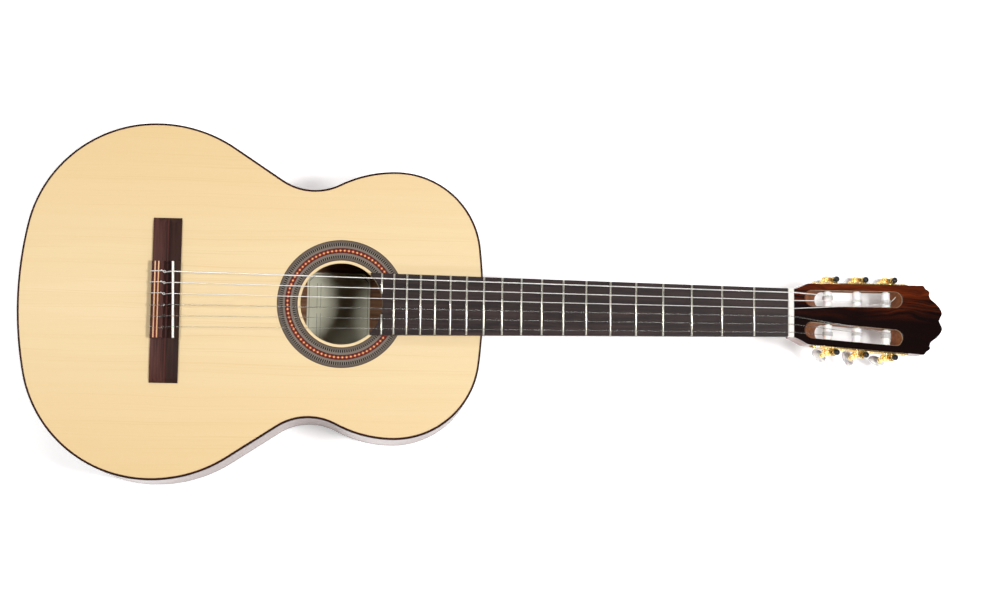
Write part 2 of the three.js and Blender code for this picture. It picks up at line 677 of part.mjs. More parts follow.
// Wheel whose teeth lean with the worm's lead, and the head of the screw that holds it.
function gear(screwSide) {
  const pitch = (2 * Math.PI) / GEAR.teeth;
  const tooth = [[GEAR.root, -0.33], [GEAR.tip, -0.16], [GEAR.tip, 0.16], [GEAR.root, 0.33]];
  const outline = [];
  for (let i = 0; i < GEAR.teeth; i++) {
    for (const [radius, offset] of tooth) {
      const angle = (i + 0.5 + offset) * pitch;
      outline.push(new THREE.Vector2(radius * Math.cos(angle), radius * Math.sin(angle)));
    }
  }
  const lean = WORM_LEAD / (2 * Math.PI * WORM.pitchRadius * GEAR.pitchRadius);
  const ring = (y) => outline.map((p) => {
    const turned = p.clone().rotateAround(new THREE.Vector2(), -lean * y);
    return new THREE.Vector3(turned.x, y, turned.y);
  });
  const wheel = loft([ring(-GEAR.width / 2), ring(GEAR.width / 2)]);
  const screw = new THREE.CylinderGeometry(2.4, 2.7, 1.4, 10);
  screw.translate(0, screwSide * (GEAR.width / 2 + 0.5), 0);
  return combine(wheel, [screw]);
}

// Threaded shaft with a ball on its front end and a ferrule where the button sits.
function worm() {
  const [segments, flank, crest] = [8, 0.8, 0.38];
  const inside = WORM.root - 0.5; // the thread starts inside the shaft
  const turns = WORM.length / WORM_LEAD - 0.4;
  const steps = Math.round(turns * segments);
  const thread = Array.from({ length: steps + 1 }, (_, i) => {
    const angle = Math.PI + ((i - steps / 2) * 2 * Math.PI) / segments;
    const middle = ((i - steps / 2) / segments) * WORM_LEAD;
    return [[inside, -flank], [WORM.tip, -crest], [WORM.tip, crest], [inside, flank]]
      .map(([r, z]) => new THREE.Vector3(r * Math.cos(angle), r * Math.sin(angle), middle + z));
  });
  const foot = BUTTON.depth - ROLLER.depth + BUTTON.half + 0.4;
  const ferrule = [[0, foot], [3.1, foot], [2.6, foot + 2.2], [WORM.shaft, foot + 2.6]];
  const ball = [[WORM.shaft, 5.4], [2.8, 6], [3.3, 8.2], [2.5, 10.4], [0, 11.2]];
  const shaft = revolve([...ferrule, ...ball], 10).rotateX(Math.PI / 2);
  return combine(shaft, [loft(thread)]);
}

// Flattened button, broadest away from the head.
function button() {
  const levels = [[-1, 0.45], [-0.8, 0.86], [-0.35, 1], [0.35, 0.88], [0.8, 0.62], [1, 0.34]];
  const sides = 12;
  const ring = ([height, size]) => Array.from({ length: sides }, (_, i) => {
    const angle = (2 * Math.PI * i) / sides;
    const [wide, thin] = [BUTTON.wide * size, BUTTON.thin * Math.min(1, size + 0.1)];
    return new THREE.Vector3(wide * Math.cos(angle), thin * Math.sin(angle), BUTTON.half * height);
  });
  return loft(levels.map(ring));
}

// Plate on the head's side, with two posts for each worm and a hole for each roller.
function plate(side) {
  const [near, far] = [SEAT_GAP, SEAT_GAP + PLATE.thickness];
  const wormBore = WORM.shaft + RUNNING_CLEARANCE;
  const span = (low, high) => (side > 0 ? [low, high] : [-high, -low]);
  const depth = [ROLLER.depth - PLATE.half, ROLLER.depth + PLATE.half];
  const posts = [];
  const holes = [];
  for (const u of TUNER_POSITIONS) {
    for (const offset of [-POST.offset, POST.offset]) {
      const middle = ROLLER.depth + offset;
      const height = [middle - POST.thickness / 2, middle + POST.thickness / 2];
      const along = [u + WORM_OFFSET - POST.width / 2, u + WORM_OFFSET + POST.width / 2];
      posts.push(box(along, span(far - 0.4, POST.reach), height));
    }
    const bore = new THREE.CylinderGeometry(wormBore, wormBore, 2 * PLATE.half, 12);
    bore.rotateX(Math.PI / 2).translate(u + WORM_OFFSET, side * GEAR.middle, ROLLER.depth);
    holes.push(bore, rod(u, ROLLER.depth, ROLLER.journal + RUNNING_CLEARANCE, ...span(near - 1, far + 1)));
  }
  return combine(box([PLATE.start, PLATE.end], span(near, far), depth), posts, holes);
}

// String numbers from the nut outwards on each side, and how each button stands at rest.
const SIDES = [
  { name: 'bass', side: 1, strings: [6, 5, 4], turns: [8, -14, 20] },
  { name: 'treble', side: -1, strings: [1, 2, 3], turns: [84, 62, 18] },
];

// Moving parts of one machine, whose roller is at u.
function machine(frame, side, number, u, turn) {
  const barrel = add(frame, `roller_${number}`, roller(), 'bone');
  barrel.position.set(u, 0, ROLLER.depth);
  if (side < 0) barrel.rotation.x = Math.PI;
  const wheel = add(frame, `gear_${number}`, gear(side), 'gold');
  wheel.position.set(u, side * GEAR.middle, ROLLER.depth);
  const screw = add(frame, `worm_${number}`, worm(), 'gold');
  screw.position.set(u + WORM_OFFSET, side * GEAR.middle, ROLLER.depth);
  const knob = add(frame, `button_${number}`, button(), 'pearl');
  knob.position.set(u + WORM_OFFSET, side * GEAR.middle, BUTTON.depth);
  knob.rotation.z = THREE.MathUtils.degToRad(turn);
}

const LANDINGS = {}; // centre of each roller, at the place where its string lands

function tuners() {
  for (const { name, side, strings, turns } of SIDES) {
    const frame = tunerFrame(side);
    headGroup.add(frame);
    add(frame, `plate_${name}`, plate(side), 'gold');
    strings.forEach((number, i) => {
      const u = TUNER_POSITIONS[i];
      machine(frame, side, number, u, turns[i]);
      const centre = new THREE.Vector3(u, 0, ROLLER.depth).applyMatrix4(frame.matrix);
      LANDINGS[number] = new THREE.Vector3(centre.x, side * ROLLER_LANDINGS[i], centre.z);
    });
  }
}

// Strings: from the tie block over the saddle and the nut to the top of the roller

const STRING_GAP = 0.12; // under a string where it passes over the saddle and the nut
const ROLLER_GAP = 0.2;
const TIE = { x: BRIDGE.rear + 14.2, z: 4.2 }; // where a string leaves the tie block

function ringAround(point, radius, sides) {
  return Array.from({ length: sides }, (_, i) => {
    const angle = (2 * Math.PI * i) / sides;
    return point.clone().add(new THREE.Vector3(0, radius * Math.cos(angle), radius * Math.sin(angle)));
  });
}

// Point of a roller's top that a string from the nut touches.
function landingPoint(number, radius, nutEnd) {
  const from = nutEnd.clone().applyMatrix4(headGroup.matrix.clone().invert());
  const centre = LANDINGS[number];
  const clear = ROLLER.radius + radius + ROLLER_GAP;
  const [along, up] = [centre.x - from.x, centre.z - from.z];
  const fall = Math.atan2(-up, along) - Math.asin(clear / Math.hypot(along, up));
  const touch = new THREE.Vector3(clear * Math.sin(fall), 0, clear * Math.cos(fall)).add(centre);
  return touch.applyMatrix4(headGroup.matrix);
}

function string(number) {
  const radius = STRING_DIAMETERS[number - 1] / 2;
  const place = (number - 3.5) / 5; // from -0.5 at the treble side to 0.5 at the bass side
  const [saddleY, nutY] = [SADDLE_SPAN * place, NUT_SPAN * place];
  const saddleZ = SADDLE.height + STRING_GAP + radius;
  const nutZ = NUT.height + STRING_GAP + radius;
  const nutEnd = new THREE.Vector3(NUT_X + NUT.length, nutY, nutZ);
  const stops = [
    new THREE.Vector3(TIE.x + radius, saddleY, TIE.z),
    new THREE.Vector3(SADDLE.x - SADDLE.thickness / 2, saddleY, saddleZ - 0.1),
    new THREE.Vector3(SADDLE.x + SADDLE.thickness / 2, saddleY, saddleZ),
    new THREE.Vector3(NUT_X, nutY, nutZ),
    nutEnd,
    landingPoint(number, radius, nutEnd),
  ];
  return loft(stops.map((p) => ringAround(p, radius, 8)));
}

// Assembly

add(guitar, 'soundboard', soundboard(), 'spruce');
add(guitar, 'rosette', rosette(), 'inlay');
add(guitar, 'back_plate', backPlate(), 'mahogany');
add(guitar, 'rib_bass', rib(1), 'mahogany');
add(guitar, 'rib_treble', rib(-1), 'mahogany');
bindings();
linings();
blocks();
soundboardBracing();
backBracing();
add(guitar, 'bridge', bridge(), 'ebony');
add(guitar, 'saddle', saddle(), 'bone');
add(guitar, 'fretboard', fretboard(), 'ebony');
add(guitar, 'nut', nut(), 'bone');
add(guitar, 'neck', neck(), 'mahogany');
add(guitar, 'heel_cap', heelCap(), 'rosewood');
add(headGroup, 'head_veneer', headVeneer(), 'rosewood');
tuners();
for (let number = 1; number <= 6; number++) {
  add(guitar, `string_${number}`, string(number), number > 3 ? 'steel' : 'nylon');
}

// The whole stands with its lowest point at z = 0 and the middle of its length at x = 0.
const HEAD_TIP = HEAD.x + Math.max(...CREST.map(([s]) => s)) * Math.cos(HEAD_ANGLE);
guitar.position.set((BODY_LENGTH - HEAD_TIP) / 2, 0, BODY_DEPTH);

export default guitar;
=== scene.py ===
"""Looks of a classical guitar that lies on its back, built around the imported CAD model.

Lengths are in millimetres in the guitar's own frame: x runs along the neck towards the head, y towards the
bass side and z up from the soundboard's top face. x = 0 is where the neck meets the body.
"""

from math import acos, asin, atan, atan2, ceil, copysign, cos, exp, hypot, pi, radians, sin, sqrt

import bmesh
import bpy
import numpy as np
from mathutils import Matrix, Vector


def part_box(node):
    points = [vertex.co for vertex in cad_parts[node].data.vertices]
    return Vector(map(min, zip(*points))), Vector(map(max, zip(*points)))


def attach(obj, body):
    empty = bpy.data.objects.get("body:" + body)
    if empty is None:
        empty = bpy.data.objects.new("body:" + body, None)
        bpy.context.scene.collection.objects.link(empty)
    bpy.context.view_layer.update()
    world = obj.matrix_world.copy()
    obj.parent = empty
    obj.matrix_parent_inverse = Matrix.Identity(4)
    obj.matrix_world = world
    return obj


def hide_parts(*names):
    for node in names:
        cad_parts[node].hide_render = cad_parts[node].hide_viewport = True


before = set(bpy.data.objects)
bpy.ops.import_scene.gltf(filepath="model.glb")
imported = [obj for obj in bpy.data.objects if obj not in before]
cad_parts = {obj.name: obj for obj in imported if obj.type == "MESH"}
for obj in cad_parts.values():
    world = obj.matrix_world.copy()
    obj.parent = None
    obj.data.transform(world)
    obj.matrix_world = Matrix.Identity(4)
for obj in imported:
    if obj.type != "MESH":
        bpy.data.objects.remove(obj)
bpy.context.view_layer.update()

# Driving dimensions, as in the CAD model

MM = 0.001
SCALE_LENGTH = 650
BODY_FRET = 12
FRET_COUNT = 19
BODY_LENGTH = 490
BODY_DEPTH = 100
UPPER_BOUT = (-94, 142.9, 91)  # place of its widest point, half width, radius
WAIST = (-182, 121.5, 60)
LOWER_BOUT = (-347, 189.3, 147, 137.7)  # with a radius in front of the widest point and one behind it
BACK_FLAT = (-40, -330, 30)  # front end, rear end and half width of the back's level part
BACK_ARCH = (500, 5000, 4000)  # radii in front of it, behind it and beside it
TOP_THICKNESS = 2.4
BACK_THICKNESS = 2.5
RIB_THICKNESS = 2.2
BINDING_HEIGHT = 5
SOUNDHOLE_X = -150.4
SOUNDHOLE_RADIUS = 43.3
FRETBOARD_THICKNESS = 6.8
BOARD_END = 12  # from the last fret to the tips that frame the soundhole
LAST_FRET_GAP = 10.8
NUT_HALF = 26
BODY_END_HALF = 31
NUT_X = SCALE_LENGTH - SCALE_LENGTH / 2 ** (BODY_FRET / 12)
NUT_LENGTH = 6.3
NUT_HEIGHT = 7.7
BRIDGE_REAR = -350
BRIDGE_LENGTH = 30
BRIDGE_HALF = 87.5
BLOCK_HALF = 40.6
BLOCK_HEIGHT = 8.6
SADDLE_X = -326.8
SADDLE_THICKNESS = 2.6
SADDLE_HEIGHT = 11.6
NECK_DEPTH_NUT = 14.4
NECK_DEPTH_BODY = 16.6
HEAD_X = 331.5
HEAD_Z = 2.5
HEAD_ANGLE = radians(15)
HEAD_THICKNESS = 20
HEAD_HALF = 32.35
HEAD_TAPER = 0.036
SLOT_START = 12.7
SLOT_END = 130.7
SLOT_BACK = (34, 126)
SLOT_INSET = 15.95
SLOT_HALF = 8.85
TUNERS = (44.5, 79.5, 114.5)
ROLLER_N = -9.5
ROLLER_RADIUS = 4.9
ROLLER_HALF = 7.9
GEAR_TEETH = 14
GEAR_PITCH_RADIUS = 4.9
GEAR_V = 5.4
GEAR_WIDTH = 5
WORM_PITCH_RADIUS = 2.8
WORM_OFFSET = GEAR_PITCH_RADIUS + WORM_PITCH_RADIUS
WORM_LEAD = 2 * pi * GEAR_PITCH_RADIUS / GEAR_TEETH
BUTTON_N = -45
STRING_DIAMETERS = (0.71, 0.82, 1.02, 0.74, 0.89, 1.09)
NUT_SPAN = 42.8
SADDLE_SPAN = 58.5
ROLLER_LANDINGS = (21.5, 17, 15.5)

# Dimensions and numbers of the looks

BINDING_FACE = 1.8  # width of the binding seen from above
ROSETTE_INNER = 46.2
ROSETTE_OUTER = 68.1
DASHES = (138, 174)  # in the mosaic's inner and outer ring
DASH_HALF = 0.31  # share of a cell on either side of its middle
DIAMONDS = 80
DIAMOND_RADIUS = 56.9
DIAMOND_HALF = 1.9
SADDLE_SLANT = 0.028  # how far the saddle leans back for each millimetre towards the bass side
POST_OFFSET = 4.2  # of a worm's two posts from its middle
PLATE_SCREWS = (29, 62, 97, 136)
LOOSE_END = 4  # number of the string whose end stands up from its roller
CREST = ((156, 37.9), (159, 34.6), (163.6, 31.2), (163.2, 27.7), (165, 23.5), (171.4, 18.8), (176.6, 13.3),
         (178.6, 8), (176.6, 3.6), (175, 0))  # bass half of the head's end, in the head's frame
OUTLINE_STEP = 3.5  # between points of the body's outline
FLOOR_GLOW = 0.42

# Frames

ORIGIN_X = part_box("binding_top")[0].x + BODY_LENGTH * MM
GUITAR = Matrix.Translation((ORIGIN_X, 0, BODY_DEPTH * MM)) @ Matrix.Scale(MM, 4)
HEAD = GUITAR @ Matrix.Translation((HEAD_X, 0, HEAD_Z)) @ Matrix.Rotation(HEAD_ANGLE, 4, "Y")


def tuner_frame(side):
    """Frame of one tuning machine: u along the head's side, v out of it, n out of the head's front."""
    return HEAD @ Matrix.Translation((0, side * HEAD_HALF, 0)) @ Matrix.Rotation(
        side * atan(HEAD_TAPER), 4, "Z")


# Materials


def srgb(red, green, blue):
    """Scene-linear colour of an 8-bit display colour."""
    def linear(value):
        value /= 255
        return value / 12.92 if value <= 0.04045 else ((value + 0.055) / 1.055) ** 2.4
    return (linear(red), linear(green), linear(blue), 1)


def shade(colour, share):
    """The colour darkened to a share of its light."""
    return tuple(c * share for c in colour[:3]) + (1,)


class Shader:
    """A node material. The calls take sockets or plain values and return sockets."""

    def __init__(self, name, **constants):
        self.material = bpy.data.materials.new(name)
        self.material.use_nodes = True
        self.tree = self.material.node_tree
        self.surface = self.tree.nodes["Principled BSDF"]
        for socket, value in constants.items():
            self.surface.inputs[socket.replace("_", " ")].default_value = value
        local = self.tree.nodes.new("ShaderNodeTexCoord").outputs["Object"]
        shift = (-ORIGIN_X / MM, 0, -BODY_DEPTH)
        self.point = self.vector("MULTIPLY_ADD", local, (1 / MM,) * 3, shift)
        parts = self.node("SeparateXYZ", Vector=self.point)
        self.x, self.y, self.z = parts.outputs

    def node(self, kind, settings=None, **inputs):
        node = self.tree.nodes.new("ShaderNode" + kind)
        for key, value in (settings or {}).items():
            setattr(node, key, value)
        for key, value in inputs.items():
            self.feed(node.inputs[key.replace("_", " ")], value)
        return node

    def feed(self, socket, value):
        if isinstance(value, bpy.types.NodeSocket):
            self.tree.links.new(value, socket)
        else:
            socket.default_value = value

    def _operate(self, kind, operation, inputs):
        node = self.tree.nodes.new("ShaderNode" + kind)
        node.operation = operation
        for socket, value in zip(node.inputs, inputs):
            self.feed(socket, value)
        return node.outputs[0]

    def math(self, operation, *inputs):
        return self._operate("Math", operation, inputs)

    def times(self, first, second):
        return self.math("MULTIPLY", first, second)

    def plus(self, first, second):
        return self.math("ADD", first, second)

    def minus(self, first, second):
        return self.math("SUBTRACT", first, second)

    def absolute(self, value):
        return self.math("ABSOLUTE", value)

    def vector(self, operation, *inputs):
        return self._operate("VectorMath", operation, inputs)

    def scaled(self, x, y, z):
        return self.vector("MULTIPLY", self.point, (x, y, z))

    def join(self, x, y, z=0.0):
        return self.node("CombineXYZ", X=x, Y=y, Z=z).outputs[0]

    def noise(self, vector, detail=3.0, roughness=0.5, distortion=0.0):
        return self.node("TexNoise", Vector=vector, Scale=1.0, Detail=detail, Roughness=roughness,
                         Distortion=distortion).outputs["Fac"]

    def span(self, value, low, high, to_low=0.0, to_high=1.0):
        node = self.node("MapRange", Value=value)
        for key, number in (("From Min", low), ("From Max", high), ("To Min", to_low), ("To Max", to_high)):
            node.inputs[key].default_value = number
        return node.outputs[0]

    def ramp(self, value, stops, interpolation="LINEAR"):
        node = self.node("ValToRGB", Fac=value)
        ramp = node.color_ramp
        ramp.interpolation = interpolation
        ramp.elements.remove(ramp.elements[1])
        ramp.elements[0].position, ramp.elements[0].color = stops[0]
        for position, colour in stops[1:]:
            ramp.elements.new(position).color = colour
        return node.outputs[0]

    def mix(self, factor, first, second):
        node = self.tree.nodes.new("ShaderNodeMix")
        node.data_type = "RGBA"
        for index, value in ((0, factor), (6, first), (7, second)):
            self.feed(node.inputs[index], value)
        return node.outputs[2]

    def layer(self, colour, mask, low, high, amount, over):
        """The colour with another one laid over it, by the amount where the mask goes from low to high."""
        return self.mix(self.span(mask, low, high, 0.0, amount), colour, over)

    def bump(self, height, distance, strength=1.0):
        node = self.node("Bump", Height=height, Distance=distance * MM, Strength=strength)
        self.feed(self.surface.inputs["Normal"], node.outputs[0])

    def paint(self, colour, roughness=None):
        self.feed(self.surface.inputs["Base Color"], colour)
        if roughness is not None:
            self.feed(self.surface.inputs["Roughness"], roughness)
        return self.material


def spruce_top():
    """Straight fine grain in two halves, cut from one board and mirrored about the centreline, with painted
    shade towards the rim and the tail.
    """
    s = Shader("spruce_top", Specular_IOR_Level=0.22)
    side = s.absolute(s.y)
    wander = s.noise(s.join(s.times(s.x, 0.006), s.times(side, 0.02)), 2.0)
    across = s.plus(side, s.times(wander, 9.0))
    along = s.times(s.x, 0.0022)
    rings = s.noise(s.join(s.times(across, 0.75), along), 3.0, 0.55)
    broad = s.noise(s.join(s.times(across, 0.085), along, 3.0), 2.0)
    fibres = s.noise(s.join(s.times(across, 3.2), s.times(s.x, 0.05), 7.0), 2.0)
    silk = s.noise(s.join(s.times(across, 0.12), s.times(s.x, 0.5), 11.0), 3.0, 0.65)
    light, warm, deep = (0.75, 0.585, 0.345, 1), (0.70, 0.51, 0.26, 1), (0.60, 0.40, 0.175, 1)
    # Painted shade: the colour turns from the light tone to the warm one towards the rim and the tail end,
    # standing in for light falling off there.
    edge = s.span(s.plus(side, s.times(s.x, -0.12)), 60, 240)
    colour = s.mix(edge, light, warm)
    colour = s.layer(colour, broad, 0.42, 0.62, 0.28, warm)
    colour = s.layer(colour, rings, 0.56, 0.70, 0.32, deep)
    colour = s.layer(colour, fibres, 0.35, 0.7, 0.10, deep)
    colour = s.layer(colour, silk, 0.5, 0.75, 0.12, light)
    s.bump(rings, 0.02, 0.25)
    return s.paint(colour, s.span(silk, 0.3, 0.7, 0.44, 0.54))


def dark_wood(name, base, streak, vein, grain=(0.01, 0.35, 0.35), gloss=0.35, coat=0.0, pores=0.35,
              specular=0.3):
    """Dense dark wood with long streaks and open pores."""
    s = Shader(name, Coat_Weight=coat, Coat_Roughness=0.08, Specular_IOR_Level=specular)
    waves = s.noise(s.scaled(grain[0] * 0.8, grain[1] * 0.3, grain[2] * 0.3), 3.0, 0.55, 0.6)
    lines = s.noise(s.scaled(*grain), 4.0, 0.6, 0.25)
    pore = s.noise(s.scaled(0.12, 4.5, 4.5), 2.0, 0.7)
    colour = s.mix(s.span(waves, 0.4, 0.65), base, streak)
    colour = s.layer(colour, lines, 0.52, 0.72, 0.75, vein)
    colour = s.layer(colour, pore, 0.62, 0.72, 0.6, shade(base, 0.35))
    s.bump(pore, -0.03, pores)
    return s.paint(colour, s.span(lines, 0.3, 0.7, gloss - 0.05, gloss + 0.07))


def mahogany(name, base, band, coat, gloss, bent=False, mirrored=False):
    """Reddish wood with ribbon figure and short dark pores. On the bent ribs its grain runs level."""
    s = Shader(name, Coat_Weight=coat, Coat_Roughness=0.06, Specular_IOR_Level=0.22)
    point = s.point
    if mirrored:
        point = s.join(s.x, s.absolute(s.y), s.z)

    def grain(along, across):
        return s.vector("MULTIPLY", point, (along, along if bent else across, across))

    deep = shade(base, 0.42)
    ribbon = s.noise(grain(0.004, 0.11), 3.0, 0.5, 0.15)
    figure = s.noise(grain(0.03, 0.13), 2.0, 0.5, 0.3)
    lines = s.noise(grain(0.01, 0.5), 4.0, 0.65)
    pore = s.noise(grain(0.3, 3.6), 1.0, 0.5)
    colour = s.mix(s.span(ribbon, 0.38, 0.62), base, band)
    colour = s.layer(colour, figure, 0.45, 0.7, 0.3, deep)
    colour = s.layer(colour, lines, 0.48, 0.7, 0.65, deep)
    colour = s.layer(colour, pore, 0.66, 0.74, 0.7, shade(base, 0.2))
    s.bump(pore, -0.02, 0.2 if coat else 0.5)
    return s.paint(colour, s.span(lines, 0.3, 0.7, gloss - 0.05, gloss + 0.06))


def plain(name, stretch, noise, edges, first, second, bump=None, gloss=None, **constants):
    """Material that wanders between two colours, and if asked in height and in gloss too."""
    s = Shader(name, **constants)
    cloud = s.noise(s.scaled(*stretch), *noise)
    colour = s.mix(s.span(cloud, *edges), first, second)
    if bump:
        s.bump(cloud, *bump)
    return s.paint(colour, s.span(cloud, 0.3, 0.7, *gloss) if gloss else None)


def rosette_wood():
    """Rings of dyed veneer and two kinds of mosaic, worked out from the radius and the angle."""
    s = Shader("rosette_mosaic", Roughness=0.5, Specular_IOR_Level=0.25)
    east = s.minus(s.x, SOUNDHOLE_X)
    radius = s.math("SQRT", s.plus(s.times(east, east), s.times(s.y, s.y)))
    angle = s.math("ARCTAN2", s.y, east)
    low, high = ROSETTE_INNER, ROSETTE_OUTER
    black, line = srgb(8, 8, 8), srgb(70, 50, 36)
    pale, brown, tan = srgb(126, 116, 104), srgb(92, 81, 72), srgb(119, 106, 96)
    red, rust = srgb(62, 16, 9), srgb(172, 58, 25)
    stops = [(low, line), (47.0, brown), (49.1, pale), (51.9, tan), (54.2, red), (55.0, rust),
             (58.8, red), (59.6, tan), (61.8, pale), (65.0, brown), (67.4, line)]
    shares = [((start - low) / (high - low), colour) for start, colour in stops]
    colour = s.ramp(s.span(radius, low, high), shares, "CONSTANT")

    def below(value, limit):
        return s.math("LESS_THAN", value, limit)

    def above(value, limit):
        return s.math("GREATER_THAN", value, limit)

    def between(first, last):
        return s.times(above(radius, first), below(radius, last))

    def cell(count):
        """Place across one of count equal cells round the hole, from -0.5 to 0.5."""
        return s.minus(s.math("FRACT", s.times(angle, count / (2 * pi))), 0.5)

    for first, last, count in ((49.1, 51.9, DASHES[0]), (61.8, 65.0, DASHES[1])):
        dash = below(s.absolute(cell(count)), DASH_HALF)
        colour = s.mix(s.times(dash, between(first, last)), colour, black)
    across = s.absolute(s.math("DIVIDE", s.minus(radius, DIAMOND_RADIUS), DIAMOND_HALF))
    spread = s.plus(s.times(s.absolute(cell(DIAMONDS)), 2.0), across)
    band = between(55.0, 58.8)
    colour = s.mix(s.times(band, above(spread, 1.02)), colour, srgb(74, 18, 9))
    colour = s.mix(s.times(band, below(spread, 0.52)), colour, srgb(240, 184, 122))
    seam = s.times(band, below(s.absolute(s.minus(spread, 0.64)), 0.08))
    colour = s.mix(seam, colour, srgb(96, 22, 10))
    fibre = s.noise(s.scaled(1.4, 1.4, 1.4), 3.0, 0.6)
    return s.paint(s.layer(colour, fibre, 0.35, 0.7, 0.15, black))


def head_wood():
    """Very dark veneer with rust streaks that open out on the bass side."""
    s = Shader("head_veneer_wood", Roughness=0.18, Specular_IOR_Level=0.28,
               Coat_Weight=0.35, Coat_Roughness=0.04)
    bend = s.noise(s.scaled(0.014, 0.03, 0.0), 2.0)
    lane = s.plus(s.times(s.y, 0.16), s.times(bend, 5.0))
    streaks = s.noise(s.join(s.times(s.x, 0.008), lane), 4.0, 0.6, 0.4)
    fine = s.noise(s.join(s.times(s.x, 0.05), s.times(lane, 7.0)), 3.0, 0.6)
    reach = s.span(s.y, -4, 30, 0.02, 1.0)
    amount = s.times(s.span(streaks, 0.42, 0.64), reach)
    amount = s.math("MAXIMUM", amount, s.span(s.y, 24, 31, 0.0, 0.6))
    colour = s.mix(amount, srgb(15, 5, 5), srgb(104, 40, 12))
    colour = s.layer(colour, fine, 0.45, 0.7, 0.55, srgb(10, 4, 4))
    return s.paint(colour)


def bridge_wood():
    """Rosewood with streaks along the bridge. The rear slope is painted lighter and redder and the front
    slope darker, as painted light and shade on either side of the ridge, and a thin painted highlight runs
    along the ridge.
    """
    s = Shader("bridge_wood", Specular_IOR_Level=0.12)
    waves = s.noise(s.scaled(0.16, 0.008, 0.16), 3.0, 0.55, 0.5)
    lines = s.noise(s.scaled(0.7, 0.014, 0.7), 4.0, 0.65, 0.2)
    pore = s.noise(s.scaled(4.5, 0.14, 4.5), 2.0, 0.7)
    # seam here marks the ridge: painted light on the rear slope behind it, painted shade on the front slope.
    seam = BRIDGE_REAR + 16
    rear = s.span(s.x, seam, seam - 4)
    colour = s.mix(s.span(waves, 0.4, 0.64), srgb(42, 24, 20), srgb(58, 36, 30))
    red = s.mix(s.span(waves, 0.38, 0.62), srgb(60, 32, 28), srgb(84, 50, 44))
    colour = s.mix(rear, colour, red)
    # A thin painted highlight along the ridge.
    off_ridge = s.absolute(s.minus(s.x, seam))
    colour = s.layer(colour, off_ridge, 0.9, 0.3, 0.55, srgb(98, 48, 44))
    colour = s.layer(colour, lines, 0.52, 0.7, 0.7, srgb(28, 14, 12))
    colour = s.layer(colour, pore, 0.6, 0.72, 0.6, srgb(20, 12, 11))
    s.bump(pore, -0.03, 0.35)
    return s.paint(colour, s.span(lines, 0.3, 0.7, 0.4, 0.52))


def fretboard_wood():
    """Nearly black wood with fine open pores."""
    s = Shader("fretboard_wood", Specular_IOR_Level=0.1)
    streak = s.noise(s.scaled(0.012, 0.22, 0.22), 4.0, 0.6, 0.4)
    pore = s.noise(s.scaled(0.1, 4.2, 4.2), 2.0, 0.7)
    colour = s.mix(s.span(streak, 0.4, 0.68), srgb(44, 37, 37), srgb(60, 49, 47))
    colour = s.layer(colour, pore, 0.58, 0.72, 0.6, srgb(22, 18, 18))
    s.bump(pore, -0.04, 0.4)
    return s.paint(colour, s.span(pore, 0.3, 0.7, 0.34, 0.5))


def bone(name, tint):
    """Bone with soft clouds and fine filed lines."""
    s = Shader(name, Roughness=0.3, Subsurface_Weight=0.15, Subsurface_Scale=0.001)
    cloud = s.noise(s.scaled(0.25, 0.25, 0.25), 4.0, 0.6)
    lines = s.noise(s.scaled(2.5, 0.15, 2.5), 2.0)
    colour = s.layer(tint, cloud, 0.4, 0.7, 0.5, shade(tint, 0.92))
    s.bump(lines, 0.01, 0.3)
    return s.paint(colour)


def gold(name="gold_plate", engraved=False):
    """Gold plate, brushed, or engraved with wavy lines."""
    s = Shader(name, Metallic=1.0)
    wear = s.noise(s.scaled(0.5, 0.5, 0.5), 4.0, 0.6)
    brushed = s.noise(s.scaled(0.5, 6.0, 6.0), 3.0, 0.6)
    colour = s.mix(s.span(wear, 0.4, 0.7), (1.0, 0.76, 0.33, 1), (0.90, 0.62, 0.22, 1))
    if engraved:
        swirl = s.node("TexWave", {"wave_type": "RINGS", "rings_direction": "SPHERICAL"}, Scale=1.0,
                       Distortion=6.0, Detail=1.0, Vector=s.scaled(0.09, 0.09, 0.16)).outputs["Fac"]
        lines = s.span(swirl, 0.42, 0.58)
        colour = s.mix(s.times(lines, 0.5), colour, (0.30, 0.17, 0.05, 1))
        s.bump(lines, -0.15, 0.6)
    else:
        s.bump(brushed, 0.01, 0.3)
    return s.paint(colour, s.span(wear, 0.3, 0.7, 0.16, 0.32))


def wound_string():
    """Silvered wire wound round a core, so the surface is ribbed across its length, with painted shade in
    the grooves between the wraps.
    """
    s = Shader("wound_string", Metallic=0.45)
    ribs = s.node("TexWave", {"wave_type": "BANDS", "bands_direction": "X"}, Scale=0.9,
                  Vector=s.point).outputs["Fac"]
    # Painted shade: the grooves between the wraps are darker than their crowns.
    colour = s.mix(ribs, (0.70, 0.68, 0.65, 1), (0.98, 0.96, 0.93, 1))
    s.bump(ribs, 0.12, 0.6)
    return s.paint(colour, s.span(ribs, 0.0, 1.0, 0.42, 0.28))


def nylon(name, clear):
    """Clear string; where its turns lie close together it is milkier."""
    return plain(name, (0.06, 1.0, 1.0), (2.0,), (0.3, 0.7), (0.80, 0.78, 0.74, 1), (0.92, 0.91, 0.88, 1),
                 Roughness=0.08, Transmission_Weight=clear, IOR=1.5)


def pearl():
    """Grey swirls and pale layers under a clear surface."""
    s = Shader("pearl_plastic", Coat_Weight=0.6, Coat_Roughness=0.05, Subsurface_Weight=0.2,
               Subsurface_Scale=0.002)
    swirl = s.noise(s.scaled(0.09, 0.09, 0.09), 2.0, 0.45, 1.6)
    layers = s.noise(s.vector("ADD", s.scaled(0.1, 0.1, 0.9), s.join(swirl, swirl, swirl)), 3.0, 0.5, 0.6)
    colour = s.ramp(swirl, [(0.36, srgb(118, 111, 118)), (0.48, srgb(176, 171, 176)),
                            (0.58, srgb(226, 224, 218)), (0.7, srgb(168, 164, 166))])
    colour = s.layer(colour, layers, 0.4, 0.64, 0.45, srgb(240, 238, 230))
    return s.paint(colour, s.span(layers, 0.3, 0.7, 0.2, 0.34))


